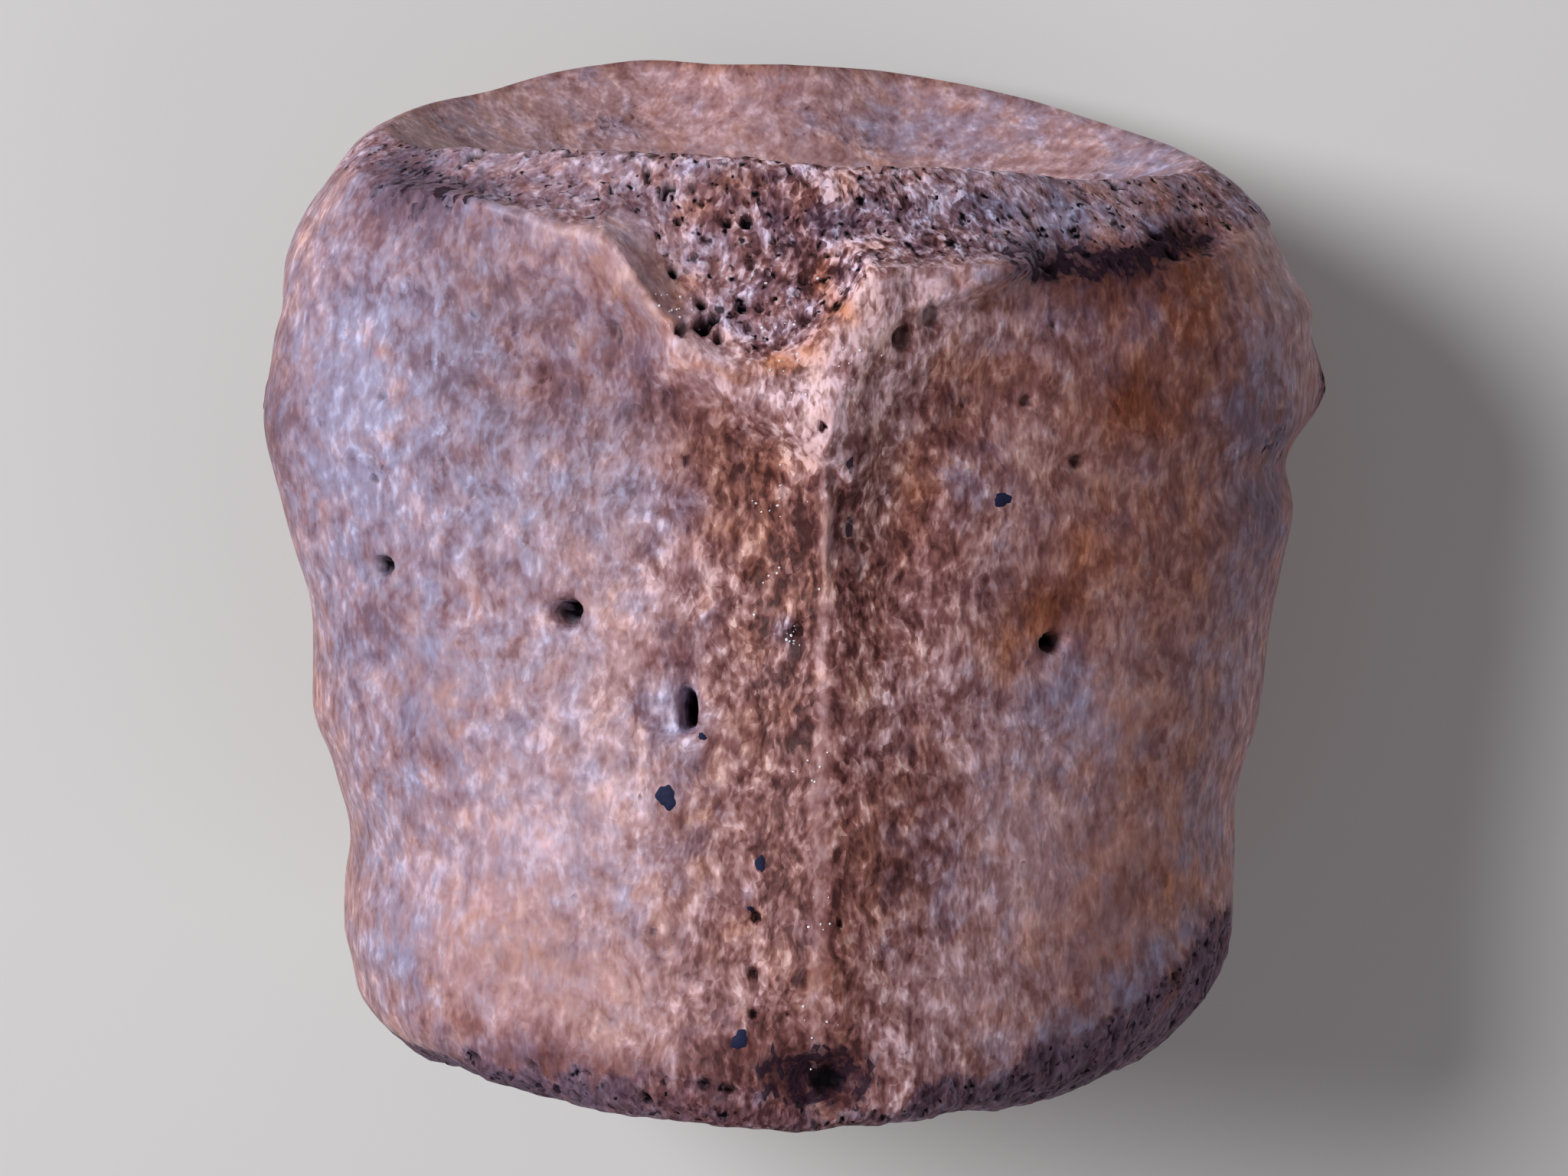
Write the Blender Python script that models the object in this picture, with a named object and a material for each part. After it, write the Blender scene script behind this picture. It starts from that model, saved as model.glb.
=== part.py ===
"""Fossil reptile tail vertebra: one worn, keeled centrum, hollow at both ends, life size.

Metres, +Z up. The bone lies on its back, as it rests, with the keel of its underside up. The end
where the keel forks is at +Y, the floor is at z = 0 and the origin is below the middle of its box.
The surface is a UV sphere whose rings and columns are carried onto the bone: the rings run from the
hollow of the front end, over its rim and along the sides, into the hollow of the back end, and
column 0 is the crest of the keel.
"""

import math

import bpy
import numpy as np

MM = 0.001

# Length, width and height of the body, from its middle
FRONT_END = 14.7 * MM
BACK_END = -16.5 * MM
LEAN_FRONT = math.radians(8.0)
LEAN_BACK = math.radians(3.2)
LEAN_HEIGHT = 12.0 * MM
HALF_WIDTH_BACK = 15.0 * MM
HALF_WIDTH_FRONT = 17.3 * MM
RIGHT_WIDER = 0.55 * MM
WIDEN_FROM = -11.5 * MM
WIDEN_TO = 5.0 * MM
FRONT_SHOULDER = 9.3 * MM
BACK_SHOULDER = -13.0 * MM
SHOULDER_FALL = 0.33
SHOULDER_POWER = 1.3
WIDEST_LEFT = 14.2 * MM
WIDEST_RIGHT = 11.8 * MM
UNDERSIDE_HEIGHT = 25.8 * MM
UNDERSIDE_SLOPE = math.tan(math.radians(7.0))
UNDERSIDE_SAG = 0.6 * MM
BACK_HEIGHT = 1.6 * MM
MIDDLE_HEIGHT = 12.5 * MM

# Roundness of the section: exponents across and up, left flank, right flank and back
LEFT_FLANK = (1.40, 2.0)
RIGHT_FLANK = (1.25, 1.9)
BACK_ROUND = (2.3, 2.6)

# Hollow ends and their rims
DISH_FRONT = 4.2 * MM
DISH_BACK = 3.4 * MM
DISH_POWER = 2.4
END_BOW_LEFT = 1.9 * MM
END_BOW_RIGHT = 2.4 * MM
BOW_MIDDLE = -3.0 * MM
BACK_CORNER = (10.0 * MM, 5.0 * MM, 1.05 * MM)
BACK_CORNER_FROM = -8.0 * MM
RIM_ROUND = 1.1 * MM
RIM_WORN_RIGHT = 1.9 * MM
RIM_WORN_AT = math.radians(58.0)
RIM_WORN_SPREAD = math.radians(26.0)
RIM_RADIUS = 15.0 * MM

# Keel and the two ridges it forks into
KEEL_X_BACK = 0.9 * MM
KEEL_X_FRONT = 1.45 * MM
KEEL_HEIGHT = 0.85 * MM
KEEL_HALF_WIDTH = 0.42 * MM
KEEL_LEFT_SLOPE = 2.4
KEEL_SHARPNESS = 1.05
KEEL_FADE = 2.6 * MM
KEEL_PAST_FORK = 1.2 * MM
KEEL_LOW_BEHIND = -4.0 * MM
KEEL_FULL_BEFORE = 3.5 * MM
KEEL_LOW_SHARE = 0.35
ROOF_ROUNDING = 0.45 * MM
ROOF_ROUNDING_WIDTH = 1.8 * MM
ROOF_ROUNDED = (4.0 * MM, 0.5 * MM)
FORK = (1.4 * MM, 4.2 * MM)
LEFT_KNOB = (-6.0 * MM, 10.6 * MM)
LEFT_RIDGE = (
    LEFT_KNOB,
    (-4.7 * MM, 9.0 * MM),
    (-3.8 * MM, 7.7 * MM),
    (-2.7 * MM, 6.7 * MM),
    (-1.4 * MM, 5.9 * MM),
)
RIGHT_RIDGE = ((1.6 * MM, 5.5 * MM), (2.5 * MM, 7.2 * MM), (3.1 * MM, 8.8 * MM), (3.2 * MM, 10.0 * MM))
RIDGES = LEFT_RIDGE + (FORK,) + RIGHT_RIDGE
LEFT_RIDGE_TAIL = (LEFT_KNOB, (-10.0 * MM, 11.7 * MM))
RIDGE_HEIGHT = 1.15 * MM
RIDGE_TAIL_HEIGHT = 0.6 * MM
RIDGE_OUTER_LEFT = 0.95 * MM
RIDGE_OUTER_RIGHT = 1.9 * MM
RIDGE_OUTER_WIDENS = (1.3 * MM, 2.2 * MM)
RIDGE_OUTER_SHARPNESS = 1.25
RIDGE_INNER = (2.4 * MM, 2.0)
SIDE_FACET_HEIGHT = 0.95 * MM
SIDE_FACET_LEFT = (2.0 * MM, 2.6 * MM)
SIDE_FACET_RIGHT = (8.3 * MM, 7.4 * MM)
SIDE_FACET_FOOT = 7.0 * MM
SIDE_FACET_FOOT_SLOPE = 0.8 * MM
SIDE_FACET_RISE = 0.4

# Spongy bone laid bare in front of the ridges: where it starts at each x, and how deep it is worn
BARE_EDGE_X = (-16.0, -10.0, -6.1, -5.4, -4.3, -3.2, -2.0, -0.5, 0.6, 1.8, 2.6, 7.4, 8.4, 13.5, 16.0)
BARE_EDGE_Y = (12.6, 11.9, 11.0, 10.6, 8.9, 7.6, 6.9, 6.8, 7.4, 8.3, 9.9, 9.9, 9.3, 9.7, 10.6)
BARE_STEP = 0.35 * MM
BARE_START = 7.0 * MM
BARE_SLOPE = 0.33
BARE_REACH = 0.85 * MM

# Hollows beside the keel and the ridges: middle, spread and depth
HOLLOWS = (
    ((-1.7 * MM, 1.6 * MM), (1.8 * MM, 4.6 * MM), 0.60 * MM),
    ((-0.7 * MM, -5.5 * MM), (1.2 * MM, 10.0 * MM), 0.30 * MM),
    ((-5.9 * MM, 6.0 * MM), (1.9 * MM, 2.2 * MM), 0.50 * MM),
    ((3.4 * MM, 1.8 * MM), (1.4 * MM, 4.6 * MM), 0.65 * MM),
    ((5.6 * MM, 5.6 * MM), (2.2 * MM, 1.6 * MM), 0.35 * MM),
    ((0.9 * MM, -15.9 * MM), (1.7 * MM, 1.5 * MM), 0.90 * MM),
)

# Broken roots of the side processes: side, middle along and up, spread along and up, and reach
SIDE_STUMPS = (
    (-1, (4.6 * MM, 9.5 * MM), (2.3 * MM, 2.4 * MM), 1.1 * MM),
    (1, (4.6 * MM, 8.0 * MM), (3.0 * MM, 2.6 * MM), 1.2 * MM),
)

# Swells and dips of the flanks: side, place along the bone, spread, and how far out
FLANK_SWELLS = (
    (-1, 8.3 * MM, 1.0 * MM, -0.35 * MM),
    (-1, 4.3 * MM, 1.9 * MM, 0.40 * MM),
    (-1, -1.6 * MM, 2.0 * MM, -0.30 * MM),
    (-1, -5.8 * MM, 1.0 * MM, 0.20 * MM),
    (-1, -9.8 * MM, 1.5 * MM, -0.35 * MM),
    (-1, -15.4 * MM, 1.0 * MM, 0.35 * MM),
    (1, 11.5 * MM, 2.4 * MM, 0.50 * MM),
    (1, 2.6 * MM, 1.2 * MM, -0.70 * MM),
    (1, -2.4 * MM, 3.5 * MM, -0.30 * MM),
    (1, -8.9 * MM, 1.6 * MM, -0.25 * MM),
)

# Back of the bone: broken roots of the arch, which it rests on, with the floor of the canal between
ARCH_ROOTS = (
    ((-7.2 * MM, -0.5 * MM), (2.9 * MM, 8.6 * MM), 3.7 * MM),
    ((6.8 * MM, -0.5 * MM), (2.9 * MM, 8.6 * MM), 3.4 * MM),
)
CANAL_MIDDLE = -0.4 * MM
CANAL_HALF_WIDTH = 3.1 * MM
CANAL_DEPTH = 2.0 * MM
ROOT_END_POWER = 5
ROOT_SIDE_POWER = 3

# Turns round the section, from 0 at the keel, where the relief of each part starts and is full
TURNS = 721
UNDERSIDE_SHOWS = (1.75, 1.15)
BACK_SHOWS = (1.9, 2.4)
STUMPS_START = (0.8, 1.3)
STUMPS_END = (2.9, 2.3)

# Wear: size of its bumps and how far they stand
WEAR = ((6.0 * MM, 0.34 * MM), (2.6 * MM, 0.16 * MM))
WEAR_SEED = 11
WEAR_UNDERSIDE = 0.25
WEAR_ENDS = 0.8

# Small openings for vessels: middle, half widths and depth
FORAMINA = (
    ("left", (-7.1 * MM, -1.2 * MM), (0.50 * MM, 0.50 * MM), 1.6 * MM),
    ("keel", (-3.2 * MM, -4.2 * MM), (0.36 * MM, 0.62 * MM), 1.8 * MM),
    ("right", (8.8 * MM, -2.4 * MM), (0.42 * MM, 0.36 * MM), 1.4 * MM),
)
FORAMEN_SIDES = 10
FORAMEN_TAPER = (0.45, 1.25)
ABOVE_BONE = 60.0 * MM

# Rings along the bone and columns around it
RINGS_FRONT_DISH = 9
RINGS_FRONT_RIM = 3
RINGS_FORK = 18
RINGS_SIDE = 15
RINGS_BACK_RIM = 3
RINGS_BACK_DISH = 7
FORK_ZONE_END = 3.6 * MM
SMOOTHED_FROM = (5.0 * MM, 6.0 * MM)
SMOOTHED_ABOVE = 15.0 * MM
SMOOTHINGS = 3
COLUMNS = 100
COLUMN_SHARES = (0.0, 0.38, 0.66, 1.0)
COLUMN_REACH = (0.0, 8.5 * MM, 20.0 * MM)

BONE_COLOUR = (0.42, 0.27, 0.21, 1.0)
BONE_ROUGHNESS = 0.62
SHARP_ANGLE = math.radians(60.0)


def clear_scene():
    for thing in list(bpy.data.objects):
        bpy.data.objects.remove(thing, do_unlink=True)


def collection_named(name):
    group = bpy.data.collections.new(name)
    bpy.context.scene.collection.children.link(group)
    return group


def eased(t):
    t = np.clip(t, 0.0, 1.0)
    return t * t * (3.0 - 2.0 * t)


def rising(value, start, full):
    """0 up to start and 1 from full on, also where full lies below start."""
    return eased((value - start) / (full - start))


def mound(x, y, middle, spread):
    return np.exp(-(((x - middle[0]) / spread[0]) ** 2) - ((y - middle[1]) / spread[1]) ** 2)


def lattice_value(i, j, k, seed):
    """A fixed number from -1 to 1 for each corner of a lattice."""
    mixed = (i * 374761393 + j * 668265263 + k * 2147483647 + seed * 1274126177) & 0xFFFFFFFF
    mixed = ((mixed ^ (mixed >> 13)) * 1103515245 + 12345) & 0xFFFFFFFF
    mixed = ((mixed ^ (mixed >> 16)) * 668265263) & 0xFFFFFFFF
    return (mixed & 0xFFFF) / 32767.5 - 1.0


def bumps(x, y, z, size, seed):
    """Smooth bumps from -1 to 1, about as wide as size."""
    cells = [np.floor(a / size).astype(np.int64) for a in (x, y, z)]
    parts = [eased(a / size - cell) for a, cell in zip((x, y, z), cells)]
    total = np.zeros_like(x)
    for corner in range(8):
        steps = [(corner >> axis) & 1 for axis in range(3)]
        weight = np.ones_like(x)
        for part, step in zip(parts, steps):
            weight = weight * (part if step else 1.0 - part)
        corners = [cell + step for cell, step in zip(cells, steps)]
        total += weight * lattice_value(*corners, seed)
    return total


def along(y, back_value, front_value):
    share = (y - BACK_END) / (FRONT_END - BACK_END)
    return back_value + (front_value - back_value) * share


def half_width(y):
    widening = rising(y, WIDEN_FROM, WIDEN_TO)
    width = HALF_WIDTH_BACK + (HALF_WIDTH_FRONT - HALF_WIDTH_BACK) * widening
    past_shoulder = np.maximum(np.maximum(y - FRONT_SHOULDER, BACK_SHOULDER - y), 0.0) / MM
    return width - SHOULDER_FALL * MM * past_shoulder**SHOULDER_POWER


def underside(y):
    middle = 0.5 * (FRONT_END + BACK_END)
    half_length = 0.5 * (FRONT_END - BACK_END)
    sag = UNDERSIDE_SAG * (1.0 - ((y - middle) / half_length) ** 2)
    return UNDERSIDE_HEIGHT - UNDERSIDE_SLOPE * y - sag


def section(y, turn, side):
    """Point of the section at y: turn is 0 at the keel, pi/2 at the widest place and pi on the back."""
    keel_x = along(y, KEEL_X_BACK, KEEL_X_FRONT)
    widest_height = np.where(side < 0, WIDEST_LEFT, WIDEST_RIGHT)
    edge = side * half_width(y) + np.where(side < 0, 0.0, RIGHT_WIDER)
    across_power = np.where(side < 0, LEFT_FLANK[0], RIGHT_FLANK[0])
    up_power = np.where(side < 0, LEFT_FLANK[1], RIGHT_FLANK[1])
    sine = np.abs(np.sin(turn))
    cosine = np.abs(np.cos(turn))
    under = turn <= math.pi / 2
    x_under = keel_x + (edge - keel_x) * sine ** (2.0 / across_power)
    z_under = widest_height + (underside(y) - widest_height) * cosine ** (2.0 / up_power)
    x_back = edge * sine ** (2.0 / BACK_ROUND[0])
    z_back = widest_height - (widest_height - BACK_HEIGHT) * cosine ** (2.0 / BACK_ROUND[1])
    return np.where(under, x_under, x_back), np.where(under, z_under, z_back)


def turn_of_columns(share, side):
    """The columns stand close together at the keel and wider apart on the back."""
    turns = np.linspace(0.0, math.pi, TURNS)
    x, z = section(np.zeros_like(turns), turns, np.full_like(turns, side))
    lengths = np.concatenate([[0.0], np.cumsum(np.hypot(np.diff(x), np.diff(z)))])
    reach = np.interp(share, COLUMN_SHARES, COLUMN_REACH + (lengths[-1],))
    return np.interp(reach, lengths, turns)


def distance_to_path(x, y, path):
    nearest = np.full_like(x, np.inf)
    for (ax, ay), (bx, by) in zip(path, path[1:]):
        dx, dy = bx - ax, by - ay
        share = np.clip(((x - ax) * dx + (y - ay) * dy) / (dx * dx + dy * dy), 0.0, 1.0)
        nearest = np.minimum(nearest, np.hypot(x - ax - share * dx, y - ay - share * dy))
    return nearest


def crest(distance, half_width_of_crest, sharpness):
    return np.exp(-((distance / half_width_of_crest) ** sharpness))


def depth_into_bare_bone(x, y):
    """How far x, y lies past the edge of the spongy bone that wear has laid bare, 0 before it."""
    edge = [(across * MM, along_bone * MM) for across, along_bone in zip(BARE_EDGE_X, BARE_EDGE_Y)]
    past = y > np.interp(x, [point[0] for point in edge], [point[1] for point in edge])
    return distance_to_path(x, y, edge) * past


def keel_stand(x, y):
    """Height of the keel at x, y. It is full by the fork and low where it nears the back end, and its
    left side slopes gently while its right side falls steeply."""
    rise = rising(y, KEEL_LOW_BEHIND, KEEL_FULL_BEFORE)
    height = KEEL_HEIGHT * (KEEL_LOW_SHARE + (1.0 - KEEL_LOW_SHARE) * rise)
    fade = rising(y, BACK_END, BACK_END + KEEL_FADE) * rising(y, FORK[1] + KEEL_PAST_FORK, FORK[1])
    away = x - along(y, KEEL_X_BACK, KEEL_X_FRONT)
    away = np.where(away < 0, -away / KEEL_LEFT_SLOPE, away)
    return height * fade * crest(away, KEEL_HALF_WIDTH, KEEL_SHARPNESS)


def ridge_stand(x, y):
    """Height of the two ridges at x, y. The left one falls away at once outside the fork and the right
    one gently, and between them they make one broad facet."""
    across = [point[0] for point in RIDGES]
    between = (y > np.interp(x, across, [point[1] for point in RIDGES])) & (x > across[0]) & (x < across[-1])
    away = distance_to_path(x, y, RIDGES)
    wider = (RIDGE_OUTER_RIGHT - RIDGE_OUTER_LEFT) * rising(x, *RIDGE_OUTER_WIDENS)
    outer = (RIDGE_OUTER_LEFT + wider, RIDGE_OUTER_SHARPNESS)
    ridges = RIDGE_HEIGHT * np.where(between, crest(away, *RIDGE_INNER), crest(away, *outer))
    tail = RIDGE_TAIL_HEIGHT * crest(distance_to_path(x, y, LEFT_RIDGE_TAIL), *outer)
    return np.maximum(ridges, tail)


def roof_rounding(x, y):
    """How far the roof-like edge where the two flanks meet is rounded off below the keel."""
    away = np.abs(x - along(y, KEEL_X_BACK, KEEL_X_FRONT))
    return ROOF_ROUNDING * rising(y, *ROOF_ROUNDED) * crest(away, ROOF_ROUNDING_WIDTH, 1.0)


def underside_relief(x, y):
    """How far the underside stands above its smooth section at x, y."""
    raised = np.maximum(keel_stand(x, y), ridge_stand(x, y)) - roof_rounding(x, y)
    foot = SIDE_FACET_FOOT + SIDE_FACET_RISE * (x - SIDE_FACET_LEFT[0])
    facet = rising(x, *SIDE_FACET_LEFT) * rising(x, *SIDE_FACET_RIGHT)
    facet = facet * rising(y, foot, foot + SIDE_FACET_FOOT_SLOPE)
    raised = np.maximum(raised, SIDE_FACET_HEIGHT * facet)
    for middle, spread, depth in HOLLOWS:
        raised = raised - depth * mound(x, y, middle, spread)
    bare = 1.0 - np.exp(-depth_into_bare_bone(x, y) / BARE_REACH)
    worn = BARE_STEP + BARE_SLOPE * np.maximum(y - BARE_START, 0.0)
    return raised * (1.0 - bare) - worn * bare


def back_relief(x, y):
    """How far the back stands out below its smooth section: arch roots out, canal floor in."""
    roots = np.zeros_like(x)
    for middle, spread, reach in ARCH_ROOTS:
        along_root = np.exp(-np.abs((y - middle[1]) / spread[1]) ** ROOT_END_POWER)
        across_root = np.exp(-np.abs((x - middle[0]) / spread[0]) ** ROOT_SIDE_POWER)
        roots = np.maximum(roots, reach * along_root * across_root)
    canal = CANAL_DEPTH * np.exp(-np.abs((x - CANAL_MIDDLE) / CANAL_HALF_WIDTH) ** ROOT_SIDE_POWER)
    return roots - canal


def ring_layout(ring):
    """For each ring: its share of the way out from the hollow's middle, its turn over the rim
    (0 on the end, pi/2 on the side), its share of the way along the side, and which end it is on."""
    dish_f = RINGS_FRONT_DISH
    rim_f = dish_f + RINGS_FRONT_RIM
    fork = rim_f + RINGS_FORK
    side = fork + RINGS_SIDE
    rim_b = side + RINGS_BACK_RIM
    last = rim_b + RINGS_BACK_DISH
    outward = np.clip(np.minimum(ring / dish_f, (last - ring) / RINGS_BACK_DISH), 0.0, 1.0)
    over_front = np.clip((ring - dish_f) / RINGS_FRONT_RIM, 0.0, 1.0)
    over_back = np.clip((rim_b - ring) / RINGS_BACK_RIM, 0.0, 1.0)
    over = np.minimum(over_front, over_back) * math.pi / 2
    through_fork = np.clip((ring - rim_f) / RINGS_FORK, 0.0, 1.0)
    through_side = np.clip((ring - fork) / RINGS_SIDE, 0.0, 1.0)
    return outward, over, through_fork, through_side, ring > fork


def bone_surface(ring, column_share, side):
    """Points of the bone for the rings and columns of the sphere."""
    turn = np.where(side < 0, turn_of_columns(column_share, -1), turn_of_columns(column_share, 1))
    outward, over, through_fork, through_side, at_back = ring_layout(ring)
    worn_right = np.exp(-(((side * turn - RIM_WORN_AT) / RIM_WORN_SPREAD) ** 2))
    rim = RIM_ROUND + np.where(at_back, RIM_WORN_RIGHT * worn_right, 0.0)
    rim_start = FRONT_END - rim
    station = rim_start + (FORK_ZONE_END - rim_start) * through_fork
    station = station + (BACK_END + rim - FORK_ZONE_END) * through_side
    sign = np.where(at_back, -1.0, 1.0)
    station = station + sign * rim * np.cos(over) * (through_side * at_back + (1 - through_fork) * ~at_back)
    on_cap = outward < 1.0
    shrink = outward * (1.0 - rim / RIM_RADIUS * (1.0 - np.sin(over)))
    x, z = section(station, turn, side)
    x = x * shrink
    z = MIDDLE_HEIGHT + (z - MIDDLE_HEIGHT) * shrink
    dish = np.where(at_back, DISH_BACK, DISH_FRONT) * (1.0 - outward**DISH_POWER)
    y = station - sign * dish * on_cap
    near_end = rising(station, WIDEN_TO, FRONT_END)
    bow = np.where(x < BOW_MIDDLE, END_BOW_LEFT, END_BOW_RIGHT)
    y = y - near_end * bow * ((x - BOW_MIDDLE) / HALF_WIDTH_FRONT) ** 2
    corner = np.exp(-(((x - BACK_CORNER[0]) / BACK_CORNER[1]) ** 2)) * (z > MIDDLE_HEIGHT)
    y = y - BACK_CORNER[2] * corner * rising(station, BACK_CORNER_FROM, BACK_END)
    y = y - (z - LEAN_HEIGHT) * np.tan(along(station, LEAN_BACK, LEAN_FRONT))

    outer = shrink**2
    under_weight = outer * rising(turn, *UNDERSIDE_SHOWS)
    back_weight = outer * rising(turn, *BACK_SHOWS)
    z = z + underside_relief(x, y) * under_weight
    z = z - back_relief(x, y) * back_weight
    for stump_side, middle, spread, reach in SIDE_STUMPS:
        stump = reach * mound(y, z, middle, spread) * (side == stump_side) * outer
        x = x + stump_side * stump * rising(turn, *STUMPS_START) * rising(turn, *STUMPS_END)
    on_flank = outer * np.sin(turn) ** 2
    for swell_side, middle, spread, reach in FLANK_SWELLS:
        swell = reach * np.exp(-(((y - middle) / spread) ** 2)) * (side == swell_side)
        x = x + swell_side * swell * on_flank

    for number, (size, stand) in enumerate(WEAR):
        swell = stand * bumps(x, y, z, size, WEAR_SEED + number) * outer
        level = 1.0 - under_weight * (1.0 - WEAR_UNDERSIDE)
        x = x + swell * np.sign(x) * np.abs(np.sin(turn)) * level
        z = z + swell * np.cos(turn) * level
        y = y + swell * np.cos(over) * WEAR_ENDS
    return np.stack([x, y, np.maximum(z, 0.0)], axis=1)


def body_solid(group):
    rings = RINGS_FRONT_DISH + RINGS_FRONT_RIM + RINGS_FORK + RINGS_SIDE + RINGS_BACK_RIM + RINGS_BACK_DISH
    bpy.ops.mesh.primitive_uv_sphere_add(segments=COLUMNS, ring_count=rings, radius=1.0)
    body = bpy.context.object
    body.name = "centrum"
    body.data.name = "centrum"
    for owner in list(body.users_collection):
        owner.objects.unlink(body)
    group.objects.link(body)

    points = np.empty(len(body.data.vertices) * 3)
    body.data.vertices.foreach_get("co", points)
    points = points.reshape(-1, 3)
    down = np.arccos(np.clip(points[:, 2], -1.0, 1.0))
    ring = np.round(down / math.pi * rings)
    # The sphere's Z becomes the bone's Y, so its X is turned round to keep the faces pointing out
    angle = np.arctan2(-points[:, 0], points[:, 1])
    column = np.round(angle / (2 * math.pi) * COLUMNS)
    share = np.abs(column) / (COLUMNS / 2)
    side = np.where(column < 0, -1, 1)
    body.data.vertices.foreach_set("co", bone_surface(ring, share, side).ravel())
    body.data.update()
    return body


def smooth_fork(body):
    """Evens the steps that the coarse mesh makes where the ridges cross its rings and columns."""
    fork = body.vertex_groups.new(name="fork")
    for vertex in body.data.vertices:
        inside = rising(vertex.co.y, *SMOOTHED_FROM) * (vertex.co.z > SMOOTHED_ABOVE)
        fork.add([vertex.index], float(inside), "REPLACE")
    smooth = body.modifiers.new("even the ridges", "SMOOTH")
    smooth.vertex_group = fork.name
    smooth.iterations = SMOOTHINGS


def set_on_origin(body):
    """Moves the mesh so that the bone's box stands on the origin."""
    points = np.empty(len(body.data.vertices) * 3)
    body.data.vertices.foreach_get("co", points)
    points = points.reshape(-1, 3)
    low, high = points.min(axis=0), points.max(axis=0)
    shift = np.array([0.5 * (low[0] + high[0]), 0.5 * (low[1] + high[1]), low[2]])
    body.data.vertices.foreach_set("co", (points - shift).ravel())
    body.data.update()
    return shift


def surface_height(body, x, y):
    hit, place, _, _ = body.ray_cast((x, y, ABOVE_BONE), (0.0, 0.0, -1.0))
    if not hit:
        raise RuntimeError("no bone under this opening")
    return place.z


def cut_foramina(body, shift, cutters):
    for name, middle, half_widths, depth in FORAMINA:
        x, y = middle[0] - shift[0], middle[1] - shift[1]
        top = surface_height(body, x, y)
        bpy.ops.mesh.primitive_cone_add(
            vertices=FORAMEN_SIDES,
            radius1=FORAMEN_TAPER[0],
            radius2=FORAMEN_TAPER[1],
            depth=2.0,
            location=(x, y, top),
        )
        cutter = bpy.context.object
        cutter.name = "foramen_cutter_" + name
        cutter.scale = (half_widths[0], half_widths[1], depth)
        cutter.hide_render = True
        cutter.display_type = "WIRE"
        for owner in list(cutter.users_collection):
            owner.objects.unlink(cutter)
        cutters.objects.link(cutter)
        cut = body.modifiers.new("foramen " + name, "BOOLEAN")
        cut.operation = "DIFFERENCE"
        cut.object = cutter


def bone_material():
    material = bpy.data.materials.new("fossil bone")
    material.use_nodes = True
    shader = material.node_tree.nodes["Principled BSDF"]
    shader.inputs["Base Color"].default_value = BONE_COLOUR
    shader.inputs["Roughness"].default_value = BONE_ROUGHNESS
    shader.inputs["Metallic"].default_value = 0.0
    return material


def main():
    clear_scene()
    group = collection_named("fossil vertebra")
    cutters = collection_named("cutters")
    body = body_solid(group)
    smooth_fork(body)
    shift = set_on_origin(body)
    bpy.context.view_layer.update()
    cut_foramina(body, shift, cutters)
    body.data.materials.append(bone_material())
    body.data.shade_smooth()
    body.data.set_sharp_from_angle(angle=SHARP_ANGLE)


main()
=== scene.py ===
"""Looks of a fossil reptile tail vertebra, laid out as a Blender add-on and run as a script.

Metres, +Z up. The bone lies on its back with the keel of its underside up and the end where the keel
forks at +Y. Sizes that shape the body are those of the solid bone, which this skin stands for.
"""

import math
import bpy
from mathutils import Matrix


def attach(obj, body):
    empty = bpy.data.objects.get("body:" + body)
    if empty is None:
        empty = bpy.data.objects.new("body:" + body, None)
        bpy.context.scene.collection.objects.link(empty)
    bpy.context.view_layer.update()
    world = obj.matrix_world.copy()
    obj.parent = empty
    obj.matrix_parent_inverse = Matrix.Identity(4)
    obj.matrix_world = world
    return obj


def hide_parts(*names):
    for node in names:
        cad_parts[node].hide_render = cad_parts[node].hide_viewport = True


bl_info = {
    "name": "Fossil Tail Vertebra",
    "version": (1, 0, 0),
    "blender": (4, 5, 0),
    "location": "3D View > Sidebar > Fossil",
    "description": "Models the skin, mineral fills and stage of a fossil tail vertebra",
    "category": "Add Mesh",
}

import bpy
import numpy as np
from mathutils import Matrix, Vector

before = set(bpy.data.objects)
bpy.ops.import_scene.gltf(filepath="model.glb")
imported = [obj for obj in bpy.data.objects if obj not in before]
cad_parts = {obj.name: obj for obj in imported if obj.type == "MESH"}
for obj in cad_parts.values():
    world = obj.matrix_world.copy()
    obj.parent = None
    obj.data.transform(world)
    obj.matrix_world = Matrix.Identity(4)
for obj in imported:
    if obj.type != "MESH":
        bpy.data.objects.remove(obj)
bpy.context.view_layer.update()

# One millimetre in metres
MM = 0.001


def mm(*sizes):
    """Sizes or places in millimetres, as a group in metres."""
    return tuple(size * MM for size in sizes)


# Length, width and height of the body, from its middle
FRONT_END = 14.7 * MM
BACK_END = -16.5 * MM
LEAN_FRONT = math.radians(8.0)
LEAN_BACK = math.radians(3.2)
LEAN_HEIGHT = 12.0 * MM
HALF_WIDTH_BACK = 15.0 * MM
HALF_WIDTH_FRONT = 17.3 * MM
RIGHT_WIDER = 0.55 * MM
WIDEN_FROM = -11.5 * MM
WIDEN_TO = 5.0 * MM
FRONT_SHOULDER = 9.3 * MM
BACK_SHOULDER = -13.0 * MM
SHOULDER_FALL = 0.33
SHOULDER_POWER = 1.3
WIDEST_LEFT = 14.2 * MM
WIDEST_RIGHT = 11.8 * MM
UNDERSIDE_HEIGHT = 25.8 * MM
UNDERSIDE_SLOPE = math.tan(math.radians(7.0))
UNDERSIDE_SAG = 0.6 * MM
BACK_HEIGHT = 1.6 * MM
MIDDLE_HEIGHT = 12.5 * MM

# Roundness of the section: exponents across and up, left flank, right flank and back
LEFT_FLANK = (1.40, 2.0)
RIGHT_FLANK = (1.25, 1.9)
BACK_ROUND = (2.3, 2.6)

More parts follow.
